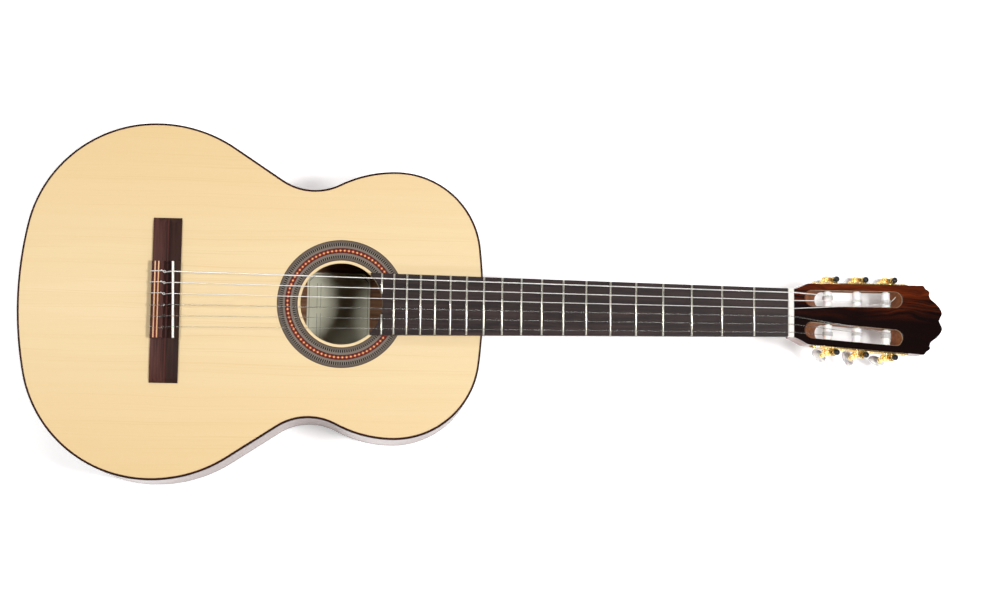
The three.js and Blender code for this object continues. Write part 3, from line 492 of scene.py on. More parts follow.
def label_paper():
    """Plain laid paper with a ruled border and no lettering."""
    s = Shader("label_paper", Roughness=0.85)
    fibre = s.noise(s.scaled(0.7, 0.7, 0.7), 4.0, 0.7)
    cloud = s.noise(s.scaled(0.05, 0.05, 0.05), 2.0)
    colour = s.layer((0.78, 0.77, 0.60, 1), fibre, 0.35, 0.7, 0.5, (0.68, 0.67, 0.50, 1))
    colour = s.layer(colour, cloud, 0.4, 0.7, 0.3, (0.66, 0.60, 0.42, 1))
    s.bump(fibre, 0.03, 0.5)
    return s.paint(colour)


def studio_white():
    """Pale paper that glows a little, except in a box under the head, where the glow is left out so that the
    slots show painted shade on the floor.
    """
    s = Shader("studio_floor", Roughness=0.9, Specular_IOR_Level=0.1, Emission_Color=(1, 1, 1, 1))
    cloud = s.noise(s.scaled(0.004, 0.004, 0.004), 3.0)
    # Painted shade: the glow fades out over a box under the head.
    shade_x, shade_y = HEAD_X + 85, 8
    ends = s.span(s.absolute(s.minus(s.x, shade_x)), 55, 85)
    sides = s.span(s.absolute(s.minus(s.y, shade_y)), 18, 40)
    glow = s.span(s.math("MAXIMUM", ends, sides), 0, 1, 0.0, FLOOR_GLOW)
    s.feed(s.surface.inputs["Emission Strength"], glow)
    return s.paint(s.mix(cloud, (0.90, 0.90, 0.90, 1), (0.94, 0.94, 0.94, 1)))


BODY_RED = ((0.105, 0.024, 0.009, 1), (0.175, 0.046, 0.017, 1))
LOOKS = {  # material and slot
    "spruce": (spruce_top(), "soundboard"),
    "bare_spruce": (plain("bare_spruce", (0.02, 0.7, 0.7), (3.0, 0.6), (0.45, 0.7), (0.52, 0.36, 0.19, 1),
                          (0.33, 0.19, 0.08, 1), bump=(0.05, 0.4), Roughness=0.7), "soundboard"),
    "rosette": (rosette_wood(), "rosette"),
    "ribs": (mahogany("rib_mahogany", *BODY_RED, 0.45, 0.36, bent=True), "body_wood"),
    "back": (mahogany("back_mahogany", *BODY_RED, 0.45, 0.36, mirrored=True), "body_wood"),
    "inside": (mahogany("bare_mahogany", (0.22, 0.10, 0.048, 1), (0.30, 0.15, 0.075, 1), 0.0, 0.65),
               "body_wood"),
    "neck": (mahogany("neck_mahogany", (0.14, 0.038, 0.015, 1), (0.20, 0.062, 0.025, 1), 0.5, 0.34), "neck"),
    "slot": (mahogany("slot_mahogany", (0.22, 0.072, 0.022, 1), (0.31, 0.108, 0.034, 1), 0.0, 0.6), "neck"),
    "bridge": (bridge_wood(), "bridge"),
    "fretboard": (fretboard_wood(), "fretboard"),
    "head": (head_wood(), "head_veneer"),
    "bone": (bone("bone", (0.95, 0.91, 0.84, 1)), "bone"),
    "nut": (bone("nut_bone", (0.80, 0.75, 0.69, 1)), "bone"),
    "gold": (gold(), "gold"),
    "engraved": (gold("gold_engraved", True), "gold"),
    "frets": (plain("fret_metal", (3.0, 0.4, 3.0), (3.0, 0.6), (0.4, 0.7), (0.74, 0.71, 0.62, 1),
                    (0.60, 0.56, 0.47, 1), bump=(0.01, 0.3), gloss=(0.22, 0.4), Metallic=1.0), "fret_metal"),
    "wound": (wound_string(), "string_wound"),
    "nylon": (nylon("nylon_string", 0.95), "string_nylon"),
    "nylon_turns": (nylon("nylon_turns", 0.35), "string_nylon"),
    "roller": (plain("roller_plastic", (0.3, 5.0, 0.3), (2.0,), (0.3, 0.7), (0.95, 0.94, 0.92, 1),
                     (0.89, 0.88, 0.86, 1), bump=(0.01, 0.4), gloss=(0.2, 0.32), Subsurface_Weight=0.2,
                     Subsurface_Scale=0.001), "roller"),
    "pearl": (pearl(), "pearl"),
    # This black also draws the screws' slots, as painted shade.
    "black": (plain("black_ball_and_slot_shade", (0.8, 0.8, 0.8), (3.0,), (0.3, 0.7), srgb(10, 9, 9), srgb(22, 20, 20),
                    gloss=(0.18, 0.3), Specular_IOR_Level=0.4), "dark_ball"),
    "paper": (label_paper(), "label"),
    "ink": (plain("label_ink", (0.6, 0.6, 0.6), (3.0,), (0.3, 0.7), srgb(96, 92, 74), srgb(62, 58, 46),
                  Roughness=0.8), "label"),
}
ALONG_BRIDGE = (0.35, 0.03, 0.35)
for look, name, slot, base, streak, vein, extra in (
        ("binding", "binding_wood", "binding", (30, 10, 5), (46, 18, 9), (18, 7, 4),
         {"gloss": 0.45, "pores": 0.1, "specular": 0.12}),
        ("purfling", "purfling_wood", "binding", (88, 44, 26), (110, 62, 38), (70, 32, 18),
         {"coat": 0.4, "pores": 0.1}),
        ("maple", "maple_line", "head_veneer", (160, 132, 104), (176, 148, 118), (140, 112, 84),
         {"pores": 0.05}),
        ("tie_strip", "tie_strip_wood", "bone", (212, 162, 118), (226, 182, 140), (190, 136, 94),
         {"grain": ALONG_BRIDGE, "pores": 0.05}),
        ("tie_red", "tie_red_wood", "bridge", (92, 32, 22), (76, 26, 18), (60, 20, 14),
         {"grain": ALONG_BRIDGE, "pores": 0.05})):
    LOOKS[look] = (dark_wood(name, srgb(*base), srgb(*streak), srgb(*vein), **extra), slot)

# Mesh building


def finish_mesh(obj, look, sharp=35):
    obj.data.materials.clear()
    obj.data.materials.append(LOOKS[look][0])
    obj.data.polygons.foreach_set("use_smooth", [True] * len(obj.data.polygons))
    obj.data.set_sharp_from_angle(angle=radians(sharp))


def in_scene(name, data):
    obj = bpy.data.objects.new(name, data)
    bpy.context.scene.collection.objects.link(obj)
    return obj


def clean(mesh, distance):
    """Joins the points that meet and turns the faces outwards."""
    work = bmesh.new()
    work.from_mesh(mesh)
    bmesh.ops.remove_doubles(work, verts=work.verts, dist=distance)
    bmesh.ops.recalc_face_normals(work, faces=work.faces)
    work.to_mesh(mesh)
    work.free()


def piece(name, shape, look, replaces=None, body="root", place=GUITAR, sharp=35):
    """A mesh of the object, whose points are in the frame place, riding on a body."""
    points, faces = shape
    mesh = bpy.data.meshes.new(name)
    mesh.from_pydata([place @ Vector(p) for p in points], [], faces)
    obj = in_scene(name, mesh)
    clean(mesh, 1e-7)
    finish_mesh(obj, look, sharp)
    return belongs(obj, replaces, body)


def belongs(obj, replaces=None, body="root"):
    """Puts the object on its body, in place of a CAD node if one is given."""
    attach(obj, body)
    if replaces:
        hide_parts(replaces)
    return obj


def bevel(obj, width, segments=2, angle=30):
    modifier = obj.modifiers.new("edges", "BEVEL")
    modifier.width = width * MM
    modifier.segments = segments
    modifier.limit_method = "ANGLE"
    modifier.angle_limit = radians(angle)
    modifier.harden_normals = True
    return obj


def apply(obj):
    """Puts the result of the modifiers into the mesh."""
    graph = bpy.context.evaluated_depsgraph_get()
    mesh = bpy.data.meshes.new_from_object(obj.evaluated_get(graph))
    obj.modifiers.clear()
    old, obj.data = obj.data, mesh
    bpy.data.meshes.remove(old)
    return obj


def merged(parts):
    """Joins (points, faces) pairs into one pair."""
    points, faces = [], []
    for more_points, more_faces in parts:
        base = len(points)
        points += list(more_points)
        faces += [[base + i for i in face] for face in more_faces]
    return points, faces


def skin(rings, closed=False):
    """Points and faces of a skin over rings of equal length, capped at both ends unless it is closed."""
    count = len(rings[0])
    points = [p for ring in rings for p in ring]
    faces = []
    bays = len(rings) if closed else len(rings) - 1
    for i in range(bays):
        here, there = i * count, (i + 1) % len(rings) * count
        for j in range(count):
            k = (j + 1) % count
            faces.append([here + j, here + k, there + k, there + j])
    if not closed:
        faces.append(list(range(count))[::-1])
        faces.append([len(points) - count + j for j in range(count)])
    return points, faces


def tube(path, radius, sides=10):
    """Round tube along a path."""
    points = [Vector(p) for p in path]
    turns = [2 * pi * j / sides for j in range(sides)]
    rings = []
    normal = None
    for i, point in enumerate(points):
        ahead = (points[min(i + 1, len(points) - 1)] - points[max(i - 1, 0)]).normalized()
        if normal is None:
            normal = ahead.orthogonal().normalized()
        normal = (normal - ahead * normal.dot(ahead)).normalized()
        other = ahead.cross(normal)
        rings.append([point + (normal * cos(a) + other * sin(a)) * radius for a in turns])
    return skin(rings)


def smooth_path(stops, per_span=8):
    """Catmull-Rom curve through the stops."""
    stops = [Vector(p) for p in stops]
    ends = [stops[0] * 2 - stops[1]] + stops + [stops[-1] * 2 - stops[-2]]
    path = []
    for i in range(1, len(ends) - 2):
        a, b, c, d = ends[i - 1:i + 3]
        for j in range(per_span):
            t = j / per_span
            path.append(0.5 * ((2 * b) + (c - a) * t + (2 * a - 5 * b + 4 * c - d) * t ** 2
                               + (3 * b - a - 3 * c + d) * t ** 3))
    return path + [stops[-1]]


def turned(profile, sides=32, axis="V"):
    """Solid of revolution from (radius, height) pairs, about v or n through the origin."""
    rings = []
    for radius, height in profile:
        ring = []
        for j in range(sides):
            a = 2 * pi * j / sides
            across, up = radius * cos(a), radius * sin(a)
            ring.append((across, height, up) if axis == "V" else (across, up, height))
        rings.append(ring)
    return skin(rings)


def moved(shape, x, y, z):
    points, faces = shape
    return [Vector(p) + Vector((x, y, z)) for p in points], faces


def flat_plate(name, loops, low, high, look, replaces=None, edge=0.0, place=GUITAR):
    """Plate with holes from closed outlines in x and y, with slightly rounded edges."""
    curve = bpy.data.curves.new(name, "CURVE")
    curve.dimensions = "2D"
    curve.fill_mode = "BOTH"
    curve.extrude = (high - low) / 2 - edge
    curve.bevel_depth = edge
    curve.bevel_resolution = 1
    curve.offset = -edge
    for loop in loops:
        spline = curve.splines.new("POLY")
        spline.points.add(len(loop) - 1)
        for point, (x, y) in zip(spline.points, loop):
            point.co = (x, y, 0, 1)
        spline.use_cyclic_u = True
    source = in_scene(name + "_outline", curve)
    graph = bpy.context.evaluated_depsgraph_get()
    mesh = bpy.data.meshes.new_from_object(source.evaluated_get(graph))
    bpy.data.objects.remove(source)
    mesh.transform(place @ Matrix.Translation((0, 0, (low + high) / 2)))
    obj = in_scene(name, mesh)
    clean(mesh, 1e-6)
    finish_mesh(obj, look)
    if edge:
        flat = obj.modifiers.new("flat_faces", "WEIGHTED_NORMAL")
        flat.keep_sharp = True
    return belongs(obj, replaces)


def circle(x, radius, count):
    turns = [2 * pi * i / count for i in range(count)]
    return [(x + radius * cos(a), radius * sin(a)) for a in turns]


# Body outline: circles that touch each other


def end_radius(offset, y, radius):
    """Radius of the circle centred on the centreline that holds a circle offset from its end."""
    return (radius ** 2 - offset ** 2 - y ** 2) / (2 * (offset + radius))


def outline_arcs():
    """Centre, radius, first and last angle of each arc from neck to tail, and whether it is hollow."""
    upper_x, upper_half, upper_radius = UPPER_BOUT
    waist_x, waist_half, waist_radius = WAIST
    lower_x, lower_half, front_radius, rear_radius = LOWER_BOUT
    upper_y = upper_half - upper_radius
    waist_y = waist_half + waist_radius
    lower_y, rear_y = lower_half - front_radius, lower_half - rear_radius
    shoulder = end_radius(upper_x, upper_y, upper_radius)
    tail = end_radius(-BODY_LENGTH - lower_x, rear_y, rear_radius)
    step = waist_half - upper_half
    reach = -(step ** 2 + (upper_x - waist_x) ** 2) / (2 * step)
    flank_radius = reach - waist_radius
    flank_y = upper_half - flank_radius
    shoulder_end = atan2(upper_y, upper_x + shoulder)
    flank_end = atan2(waist_y - flank_y, waist_x - upper_x)
    gap = hypot(waist_x - lower_x, waist_y - lower_y)
    tangent = atan2(waist_y - lower_y, waist_x - lower_x) + acos((front_radius + waist_radius) / gap)
    tail_x = tail - BODY_LENGTH
    tail_start = atan2(rear_y, lower_x - tail_x)
    top = pi / 2
    return [
        (-shoulder, 0, shoulder, 0, shoulder_end, False),
        (upper_x, upper_y, upper_radius, shoulder_end, top, False),
        (upper_x, flank_y, flank_radius, top, flank_end, False),
        (waist_x, waist_y, waist_radius, flank_end - pi, tangent - pi, True),
        (lower_x, lower_y, front_radius, tangent, top, False),
        (lower_x, rear_y, rear_radius, top, tail_start, False),
        (tail_x, 0, tail, tail_start, pi, False),
    ]


ARCS = outline_arcs()


def half_outline(inset):
    """Bass half of the outline, moved inwards; the same place always has the same index."""
    points = []
    for index, (x, y, radius, first, last, hollow) in enumerate(ARCS):
        steps = ceil(radius * abs(last - first) / OUTLINE_STEP)
        shares_end = index < len(ARCS) - 1 and not hollow
        offset = radius + inset if hollow else radius - inset
        for i in range(steps if shares_end else steps + 1):
            a = first + (last - first) * i / steps
            points.append((x + offset * cos(a), y + offset * sin(a)))
        if hollow:
            points += straight_flank(points[-1], index, inset)
    return points


def straight_flank(start, index, inset, steps=16):
    """Inner points of the straight stretch between the waist's arc and the lower bout's."""
    x, y, radius, first, _, _ = ARCS[index + 1]
    end = (x + (radius - inset) * cos(first), y + (radius - inset) * sin(first))
    return [tuple(a + (b - a) * i / steps for a, b in zip(start, end)) for i in range(1, steps)]


def full_outline(inset):
    """The whole outline, from the neck down the bass side and back up the treble side."""
    half = half_outline(inset)
    return half + [(x, -y) for x, y in half[-2:0:-1]]


def back_height(x, y):
    """Height of the back's outer face, which is arched away from its level part."""
    front, rear, half = BACK_FLAT

    def rise(distance, radius):
        return max(0, distance) ** 2 / (2 * radius)

    return (-BODY_DEPTH + rise(abs(y) - half, BACK_ARCH[2]) + rise(x - front, BACK_ARCH[0])
            + rise(rear - x, BACK_ARCH[1]))


def outline_band(profile, outline, closed):
    """Skin along the outline from (inset, level, height) corners; level is top or back."""
    lanes = []
    for inset, level, height in profile:
        lane = []
        for x, y in outline(inset):
            base = 0 if level == "top" else back_height(x, y)
            lane.append((x, y, base + height))
        lanes.append(lane)
    rings = [list(ring) for ring in zip(*lanes)]
    return skin(rings, closed)


# Body


def make_top():
    board = full_outline(BINDING_FACE + 0.4)
    hole = circle(SOUNDHOLE_X, SOUNDHOLE_RADIUS, 160)
    flat_plate("soundboard_spruce", [board, hole], -TOP_THICKNESS, 0, "spruce", "soundboard", edge=0.25)
    rings = [circle(SOUNDHOLE_X, radius, 192) for radius in (ROSETTE_OUTER, ROSETTE_INNER)]
    flat_plate("rosette_inlay", rings, -0.9, 0.04, "rosette", "rosette")


def make_bindings():
    """Bindings with a rounded outer edge, and a light line between the upper one and the spruce."""
    rib, face, low, ledge = RIB_THICKNESS, BINDING_FACE, -BINDING_HEIGHT, -TOP_THICKNESS - 0.05
    corners = [(face, 0), (0.8, 0.02), (0.4, -0.1), (0.1, -0.4), (0, -0.9), (0, low), (rib, low),
               (rib, ledge), (face, ledge)]
    for level, up in (("top", 1), ("back", -1)):
        profile = [(inset, level, up * height) for inset, height in corners]
        band = outline_band(profile, full_outline, True)
        piece(f"binding_{level}_wood", band, "binding", f"binding_{level}")
    near, far, over, under = face - 0.02, face + 0.42, 0.02, -1.2
    line = [(far, "top", over), (near, "top", over), (near, "top", under), (far, "top", under)]
    piece("purfling_top", outline_band(line, full_outline, True), "purfling")


def make_ribs():
    height = BINDING_HEIGHT
    profile = [(0, "top", -height), (0, "back", height), (RIB_THICKNESS, "back", height),
               (RIB_THICKNESS, "top", -height)]
    for name, side in (("bass", 1), ("treble", -1)):
        def half(inset, side=side):
            return [(x, side * y) for x, y in half_outline(inset)]
        piece(f"rib_{name}_wood", outline_band(profile, half, False), "ribs", f"rib_{name}")


def make_tail_strip():
    """Tapered strip of binding wood over the joint of the ribs at the tail."""
    rear = -BODY_LENGTH - 0.15
    front = rear + 1.2
    rings = []
    for z, half in ((-BINDING_HEIGHT, 9), (back_height(-BODY_LENGTH, 0) + BINDING_HEIGHT, 5)):
        rings.append([(rear, -half, z), (rear, half, z), (front, half, z), (front, -half, z)])
    bevel(piece("tail_strip", skin(rings), "binding"), 0.1)


def make_back():
    """Two book-matched halves with a strip between them."""
    strip, count = 3, 20
    edge = half_outline(RIB_THICKNESS)
    for name, side in (("bass", 1), ("treble", -1)):
        rings = []
        for x, y in edge:
            y = max(y, strip + 0.2)
            across = [strip + (y - strip) * i / count for i in range(count + 1)]
            under = [(x, side * w, back_height(x, w)) for w in across]
            over = [(x, side * w, back_height(x, w) + BACK_THICKNESS) for w in reversed(across)]
            rings.append(under + over)
        paint_inside(piece(f"back_{name}_wood", skin(rings), "back", "back_plate" if side > 0 else None))
    rings = []
    for x, y in edge:
        if y > strip:
            low = back_height(x, 0)
            high = low + BACK_THICKNESS
            rings.append([(x, -strip, low), (x, strip, low), (x, strip, high), (x, -strip, high)])
    paint_inside(piece("back_centre_strip", skin(rings), "binding"))


def paint_inside(obj):
    """Gives the faces that look up into the body bare wood, as a second material."""
    obj.data.materials.append(LOOKS["inside"][0])
    for face in obj.data.polygons:
        if face.normal.z > 0.7:
            face.material_index = 1


def make_label():
    """Plain paper glued to the back under the soundhole, with a ruled border and two pairs of rules."""
    rear, front, treble, bass, clip = -188.8, -119.8, -40.0, 46.0, 7
    z = back_height(SOUNDHOLE_X, 0) + BACK_THICKNESS

    def clipped(margin):
        a, b, c, d = rear + margin, front - margin, treble + margin, bass - margin
        return [(a, c + clip), (a + clip, c), (b - clip, c), (b, c + clip), (b, d - clip), (b - clip, d),
                (a + clip, d), (a, d - clip)]

    flat_plate("label_sheet", [clipped(0)], z, z + 0.3, "paper")
    flat_plate("label_border", [clipped(2.2), clipped(2.6)], z + 0.25, z + 0.34, "ink")
    half = 0.15
    index = 0
    for low, high in ((6, bass - 12), (treble + 7, 1)):
        for x in (rear + 11, rear + 15):
            index += 1
            loop = [(x - half, low), (x + half, low), (x + half, high), (x - half, high)]
            flat_plate(f"label_rule_{index}", [loop], z + 0.25, z + 0.34, "ink")


# Bridge, saddle and nut


def saddle_x(y):
    """The saddle leans back on the bass side, where the strings need more length."""
    return SADDLE_X - SADDLE_SLANT * y


def make_bridge():
    """Tie block and saddle seat in the middle, a low wing on either side, and the inlay on the block."""
    rear, front = BRIDGE_REAR, BRIDGE_REAR + BRIDGE_LENGTH
    seat, channel = 3.6, 3

    def block(y):
        """Corners of the block's section, from the rear foot round the front and back over the top."""
        slot_rear, slot_front = saddle_x(y) - SADDLE_THICKNESS / 2, saddle_x(y) + SADDLE_THICKNESS / 2
        return [(rear, 0), (front, 0), (front, 3.6), (front - 2.4, 7.2), (slot_front, 7.6),
                (slot_front, seat), (slot_rear, seat), (slot_rear, 6.6), (rear + 17.5, channel),
                (rear + 13.2, channel), (rear + 13.2, 8.2), (rear + 12.8, BLOCK_HEIGHT),
                (rear + 1, BLOCK_HEIGHT), (rear, BLOCK_HEIGHT - 1)]

    parts = [skin([[(x, y, z) for x, z in block(y)] for y in (-BLOCK_HALF, BLOCK_HALF)])]
    middle = (rear + front) / 2
    for side in (1, -1):
        wing = []
        for half, ridge, edge in ((BLOCK_HALF - 0.5, 4.6, 2.2), (BRIDGE_HALF - 6, 4.6, 2.2),
                                  (BRIDGE_HALF, 1.2, 1.0)):
            corners = [(rear, 0), (front, 0), (front, edge), (middle + 1, ridge), (middle - 1, ridge),
                       (rear, edge)]
            wing.append([(x, side * half, z) for x, z in corners])
        parts.append(skin(wing))
    bevel(piece("bridge_wood", merged(parts), "bridge", "bridge"), 0.35)
    end = BLOCK_HALF - 0.1
    for name, x, width, look in (("rear", 3.6, 1.35, "tie_strip"), ("front", 7.3, 1.35, "tie_strip"),
                                 ("middle", 5.45, 2.35, "tie_red")):
        low, high = rear + x - width / 2, rear + x + width / 2
        corners = [(low, -2), (high, -2), (high, 0.12), (low, 0.12)]
        rings = [[(x, y, BLOCK_HEIGHT + z) for x, z in corners] for y in (-end, end)]
        bevel(piece(f"tie_strip_{name}", skin(rings), look), 0.08, 1)


def rounding(distance, radius):
    """How far a rounded edge lies below the flat top, at a distance from its rim."""
    return 0 if distance > radius else radius - sqrt(max(0, radius ** 2 - (radius - distance) ** 2))


def bone_bar(name, rear, front, half, foot, top, crown, notches, node, look="bone", rounded=0.9,
             slant=0.0):
    """Bar of bone across the strings, rounded on top, with a small notch under each string."""
    rings = []
    for y in np.arange(-half, half + 0.01, 0.25):
        drop = rounding(half - abs(y), 0.9)
        for centre, radius, depth in notches:
            away = abs(y - centre)
            if away < radius:
                drop = max(drop, depth * sqrt(1 - (away / radius) ** 2))
        ring = [(rear, y, foot), (front, y, foot)]
        for i in range(9):
            share = i / 8
            x = front - (front - rear) * share
            fall = rounding(min(x - rear, front - x), rounded)
            ring.append((x, y, top + crown * sin(pi * share) - fall - drop))
        rings.append([(x - slant * y, y, z) for x, y, z in ring])
    piece(name, skin(rings), look, node)


def string_place(number):
    """Share of the strings' span at which a string lies, from -0.5 on the treble side."""
    return (number - 3.5) / 5


def make_bones():
    saddle_notches, nut_notches = [], []
    for number, diameter in enumerate(STRING_DIAMETERS, 1):
        place = string_place(number)
        saddle_notches.append((SADDLE_SPAN * place, diameter / 2 + 0.1, 0.12))
        nut_notches.append((NUT_SPAN * place, diameter / 2 + 0.12, 0.75))
    reach = SADDLE_THICKNESS / 2 - 0.15
    bone_bar("saddle_bone", SADDLE_X - reach, SADDLE_X + reach, BLOCK_HALF - 0.2, 3.7, SADDLE_HEIGHT - 0.1,
             0.15, saddle_notches, "saddle", slant=SADDLE_SLANT)
    bone_bar("nut_bone", NUT_X + 0.05, NUT_X + NUT_LENGTH, NUT_HALF, 0.2, NUT_HEIGHT + 0.45, 0.12,
             nut_notches, "nut", "nut", 1.1)


# Fretboard


def fret_x(number):
    return NUT_X - (SCALE_LENGTH - SCALE_LENGTH / 2 ** (number / 12))


def fretboard_half(x):
    """Half width of the fretboard, which widens towards the body."""
    return BODY_END_HALF + (NUT_HALF - BODY_END_HALF) * x / NUT_X


def make_fretboard():
    end = fret_x(FRET_COUNT) - BOARD_END
    radius = SOUNDHOLE_RADIUS + 0.1
    reach = acos((end - SOUNDHOLE_X) / radius)
    arc = [reach - 2 * reach * i / 24 for i in range(25)]
    outline = [(NUT_X, -NUT_HALF), (NUT_X, NUT_HALF), (end, fretboard_half(end))]
    outline += [(SOUNDHOLE_X + radius * cos(a), radius * sin(a)) for a in arc]
    outline += [(end, -fretboard_half(end))]
    flat_plate("fretboard_wood_board", [outline], 0, FRETBOARD_THICKNESS, "fretboard",
               "fretboard", edge=0.3)


def make_frets():
    parts = []
    for number in range(1, FRET_COUNT + 1):
        x = fret_x(number)
        outer = fretboard_half(x) - 0.25
        gap = LAST_FRET_GAP
        spans = [(gap, outer), (-outer, -gap)] if number == FRET_COUNT else [(-outer, outer)]
        parts += [fret_bar(x, low, high) for low, high in spans]
    piece("frets", merged(parts), "frets")


def fret_bar(x, low, high):
    """Crowned wire, with ends filed to a slope."""
    half, height, slope = 1.05, 1.0, 0.7
    rings = []
    for y, size in ((low, 0.25), (low + slope * 0.5, 0.75), (low + slope, 1), (high - slope, 1),
                    (high - slope * 0.5, 0.75), (high, 0.25)):
        ring = [(x - half, y, FRETBOARD_THICKNESS - 0.4), (x + half, y, FRETBOARD_THICKNESS - 0.4)]
        for i in range(9):
            a = pi * i / 8
            ring.append((x + half * cos(a), y, FRETBOARD_THICKNESS + height * size * sin(a) ** 0.8))
        rings.append(ring)
    return skin(rings)


# Neck and head


def shaft_section(x, half, depth, count=40):
    """Section of the neck: a flattened round back under a flat top."""
    ring = []
    for i in range(count + 1):
        a = pi * i / count
        y = half * copysign(abs(cos(a)) ** 0.8, cos(a))
        ring.append((x, y, -0.1 - depth * sin(a) ** 0.7))
    top = [(x, -half, 3), (x, half, 3)]
    return ring + top


HEEL_REACH = 17.5
HEEL_HALF = 11.5
HEEL_TOP_HALF = 28
HEEL_FLARE = 46
HEEL_BOTTOM = back_height(0, 0) + 3.4


def heel_ring(z, grow=0.0, count=40):
    """Level section of the heel, which flares into the neck near the fretboard."""
    fade = exp(-max(0, -z - NECK_DEPTH_BODY + 4) / 16)
    depth = min(1, max(0, z / HEEL_BOTTOM))
    reach = HEEL_REACH + HEEL_FLARE * fade + grow
    half = HEEL_TOP_HALF + (HEEL_HALF - HEEL_TOP_HALF) * sin(depth * pi / 2) ** 0.8 + grow
    turns = [pi * i / count for i in range(count + 1)]
    return [(0.3 + reach * sin(a), half * cos(a), z) for a in turns]


def make_neck():
    """Shaft and heel carved from one piece: the two solids are fused and their joint is smoothed."""
    levels = [-4, -9, -13, -16, -19, -22, -26, -30, -35, -41, -48, -56, -65, -78, HEEL_BOTTOM]
    shaft = skin([
        shaft_section(0.3, fretboard_half(0) - 0.15, NECK_DEPTH_BODY),
        shaft_section(NUT_X - 30, fretboard_half(NUT_X - 30) - 0.15, NECK_DEPTH_NUT),
        shaft_section(NUT_X - 6, fretboard_half(NUT_X - 6) - 0.15, NECK_DEPTH_NUT + 0.8),
        shaft_section(NUT_X + 2, NUT_HALF - 0.2, NECK_DEPTH_NUT + 2.2),
    ])
    heel = skin([heel_ring(z) for z in levels])
    neck = piece("neck_shaft_wood", merged([shaft, heel]), "neck", "neck")
    remesh = neck.modifiers.new("fuse", "REMESH")
    remesh.mode = "VOXEL"
    remesh.voxel_size = 0.9 * MM
    smooth = neck.modifiers.new("carve", "SMOOTH")
    smooth.factor = 0.5
    smooth.iterations = 10
    apply(neck)
    finish_mesh(neck, "neck", 60)
    low, high = -0.3 + HEEL_BOTTOM, back_height(0, 0) + 0.3
    cap = piece("heel_cap_wood", skin([heel_ring(z, 0.3) for z in (low, high)]), "binding", "heel_cap")
    bevel(cap, 0.5)


def head_half():
    """Bass half of the head's outline, from the nut to the middle of the crest."""
    shoulder = 21
    throat = [(0, 25.6), (6.4, 27.8), (12, 30.4), (17, 32.6), (shoulder, HEAD_HALF + shoulder * HEAD_TAPER)]
    throat, crest = [[(s, y, 0) for s, y in stops] for stops in (throat, CREST)]
    points = smooth_path(throat, 4) + [Vector(crest[0])] + smooth_path(crest[1:], 5)
    return [(p.x, p.y) for p in points]


def head_outline():
    half = head_half()
    return half + [(s, -y) for s, y in half[-2::-1]]


def slot_ring(side, start, end, grow=0.0, count=20):
    """Slot outline in the head's frame, a stretch with round ends turned with the head's side."""
    turn = Matrix.Rotation(side * atan(HEAD_TAPER), 4, "Z")
    radius = SLOT_HALF + grow
    ring = []
    for centre, first in ((end - SLOT_HALF, -0.5), (start + SLOT_HALF, 0.5)):
        for i in range(count + 1):
            a = (first + i / count) * pi
            point = Vector((centre + radius * cos(a), -side * SLOT_INSET + radius * sin(a), 0))
            ring.append(turn @ point + Vector((0, side * HEAD_HALF, 0)))
    return ring


def cutter(name, shape, place):
    """A solid that only cuts another one."""
    obj = piece(name, shape, "slot", place=place)
    obj.hide_render = True
    return obj


def cut(obj, tool):
    modifier = obj.modifiers.new("cut", "BOOLEAN")
    modifier.operation = "DIFFERENCE"
    modifier.solver = "EXACT"
    modifier.object = tool


def slot_solid(side):
    """The room of one slot, whose ends slope towards the back of the head."""
    rings = []
    for depth in (-3, HEAD_THICKNESS + 3):
        lean = depth / HEAD_THICKNESS
        start = SLOT_START + (SLOT_BACK[0] - SLOT_START) * lean
        end = SLOT_END + (SLOT_BACK[1] - SLOT_END) * lean
        rings.append([(p.x, p.y, -depth) for p in slot_ring(side, start, end)])
    return skin(rings)


def mirrored_for(side, shape):
    """The bass side's shape, or its mirror image for the treble side."""
    points, faces = shape
    return [(x, side * y, z) for x, y, z in points], faces


def make_head():
    """Wood of the head, cut through by two slots and the tuners' bores, and lighter in the slots."""
    wood = flat_plate("head_wood", [head_outline()], -HEAD_THICKNESS, -2.4, "neck", edge=0.5, place=HEAD)
    wall, far = SLOT_INSET - SLOT_HALF, SLOT_INSET + SLOT_HALF
    bore = turned([(3.4, -wall - 2), (3.4, 3)], 24)
    pin = turned([(2.7, -far - 5.5), (2.7, 2 - far)], 24)
    tools = []
    for side in (1, -1):
        tools.append(cutter(f"slot_cutter_{side}", slot_solid(side), HEAD))
        for index, u in enumerate(TUNERS):
            shape = merged([moved(mirrored_for(side, part), u, 0, ROLLER_N) for part in (bore, pin)])
            tools.append(cutter(f"bore_cutter_{side}_{index}", shape, tuner_frame(side)))
    for tool in tools:
        cut(wood, tool)
    apply(wood)
    for tool in tools:
        bpy.data.objects.remove(tool)
    wood.data.materials.append(LOOKS["slot"][0])
    inside = HEAD.inverted()
    for face in wood.data.polygons:
        centre = inside @ face.center
        normal = (inside.to_3x3() @ face.normal).normalized()
        slot_middle = HEAD_HALF - SLOT_INSET + centre.x * HEAD_TAPER
        beside = abs(abs(centre.y) - slot_middle) < SLOT_HALF + 0.3
        in_slot = beside and SLOT_START - 1 < centre.x < SLOT_END + 1
        face.material_index = 1 if in_slot and abs(normal.z) < 0.99 else 0
    wood.data.polygons.foreach_set("use_smooth", [True] * len(wood.data.polygons))
    wood.data.set_sharp_from_angle(angle=radians(30))


def make_veneer():
    """Dark figured veneer over a thin light one that shows round the slots' lips."""
    outline = [(max(s, 0.4), y) for s, y in head_outline()]

    def slots(grow):
        return [[(p.x, p.y) for p in slot_ring(side, SLOT_START, SLOT_END, grow)] for side in (1, -1)]

    flat_plate("head_veneer_wood_face", [outline] + slots(0), -1.7, 0, "head",
               "head_veneer", edge=0.2, place=HEAD)
    flat_plate("head_veneer_line", [outline] + slots(-0.35), -2.4, -1.7, "maple", place=HEAD)


# Tuning machines


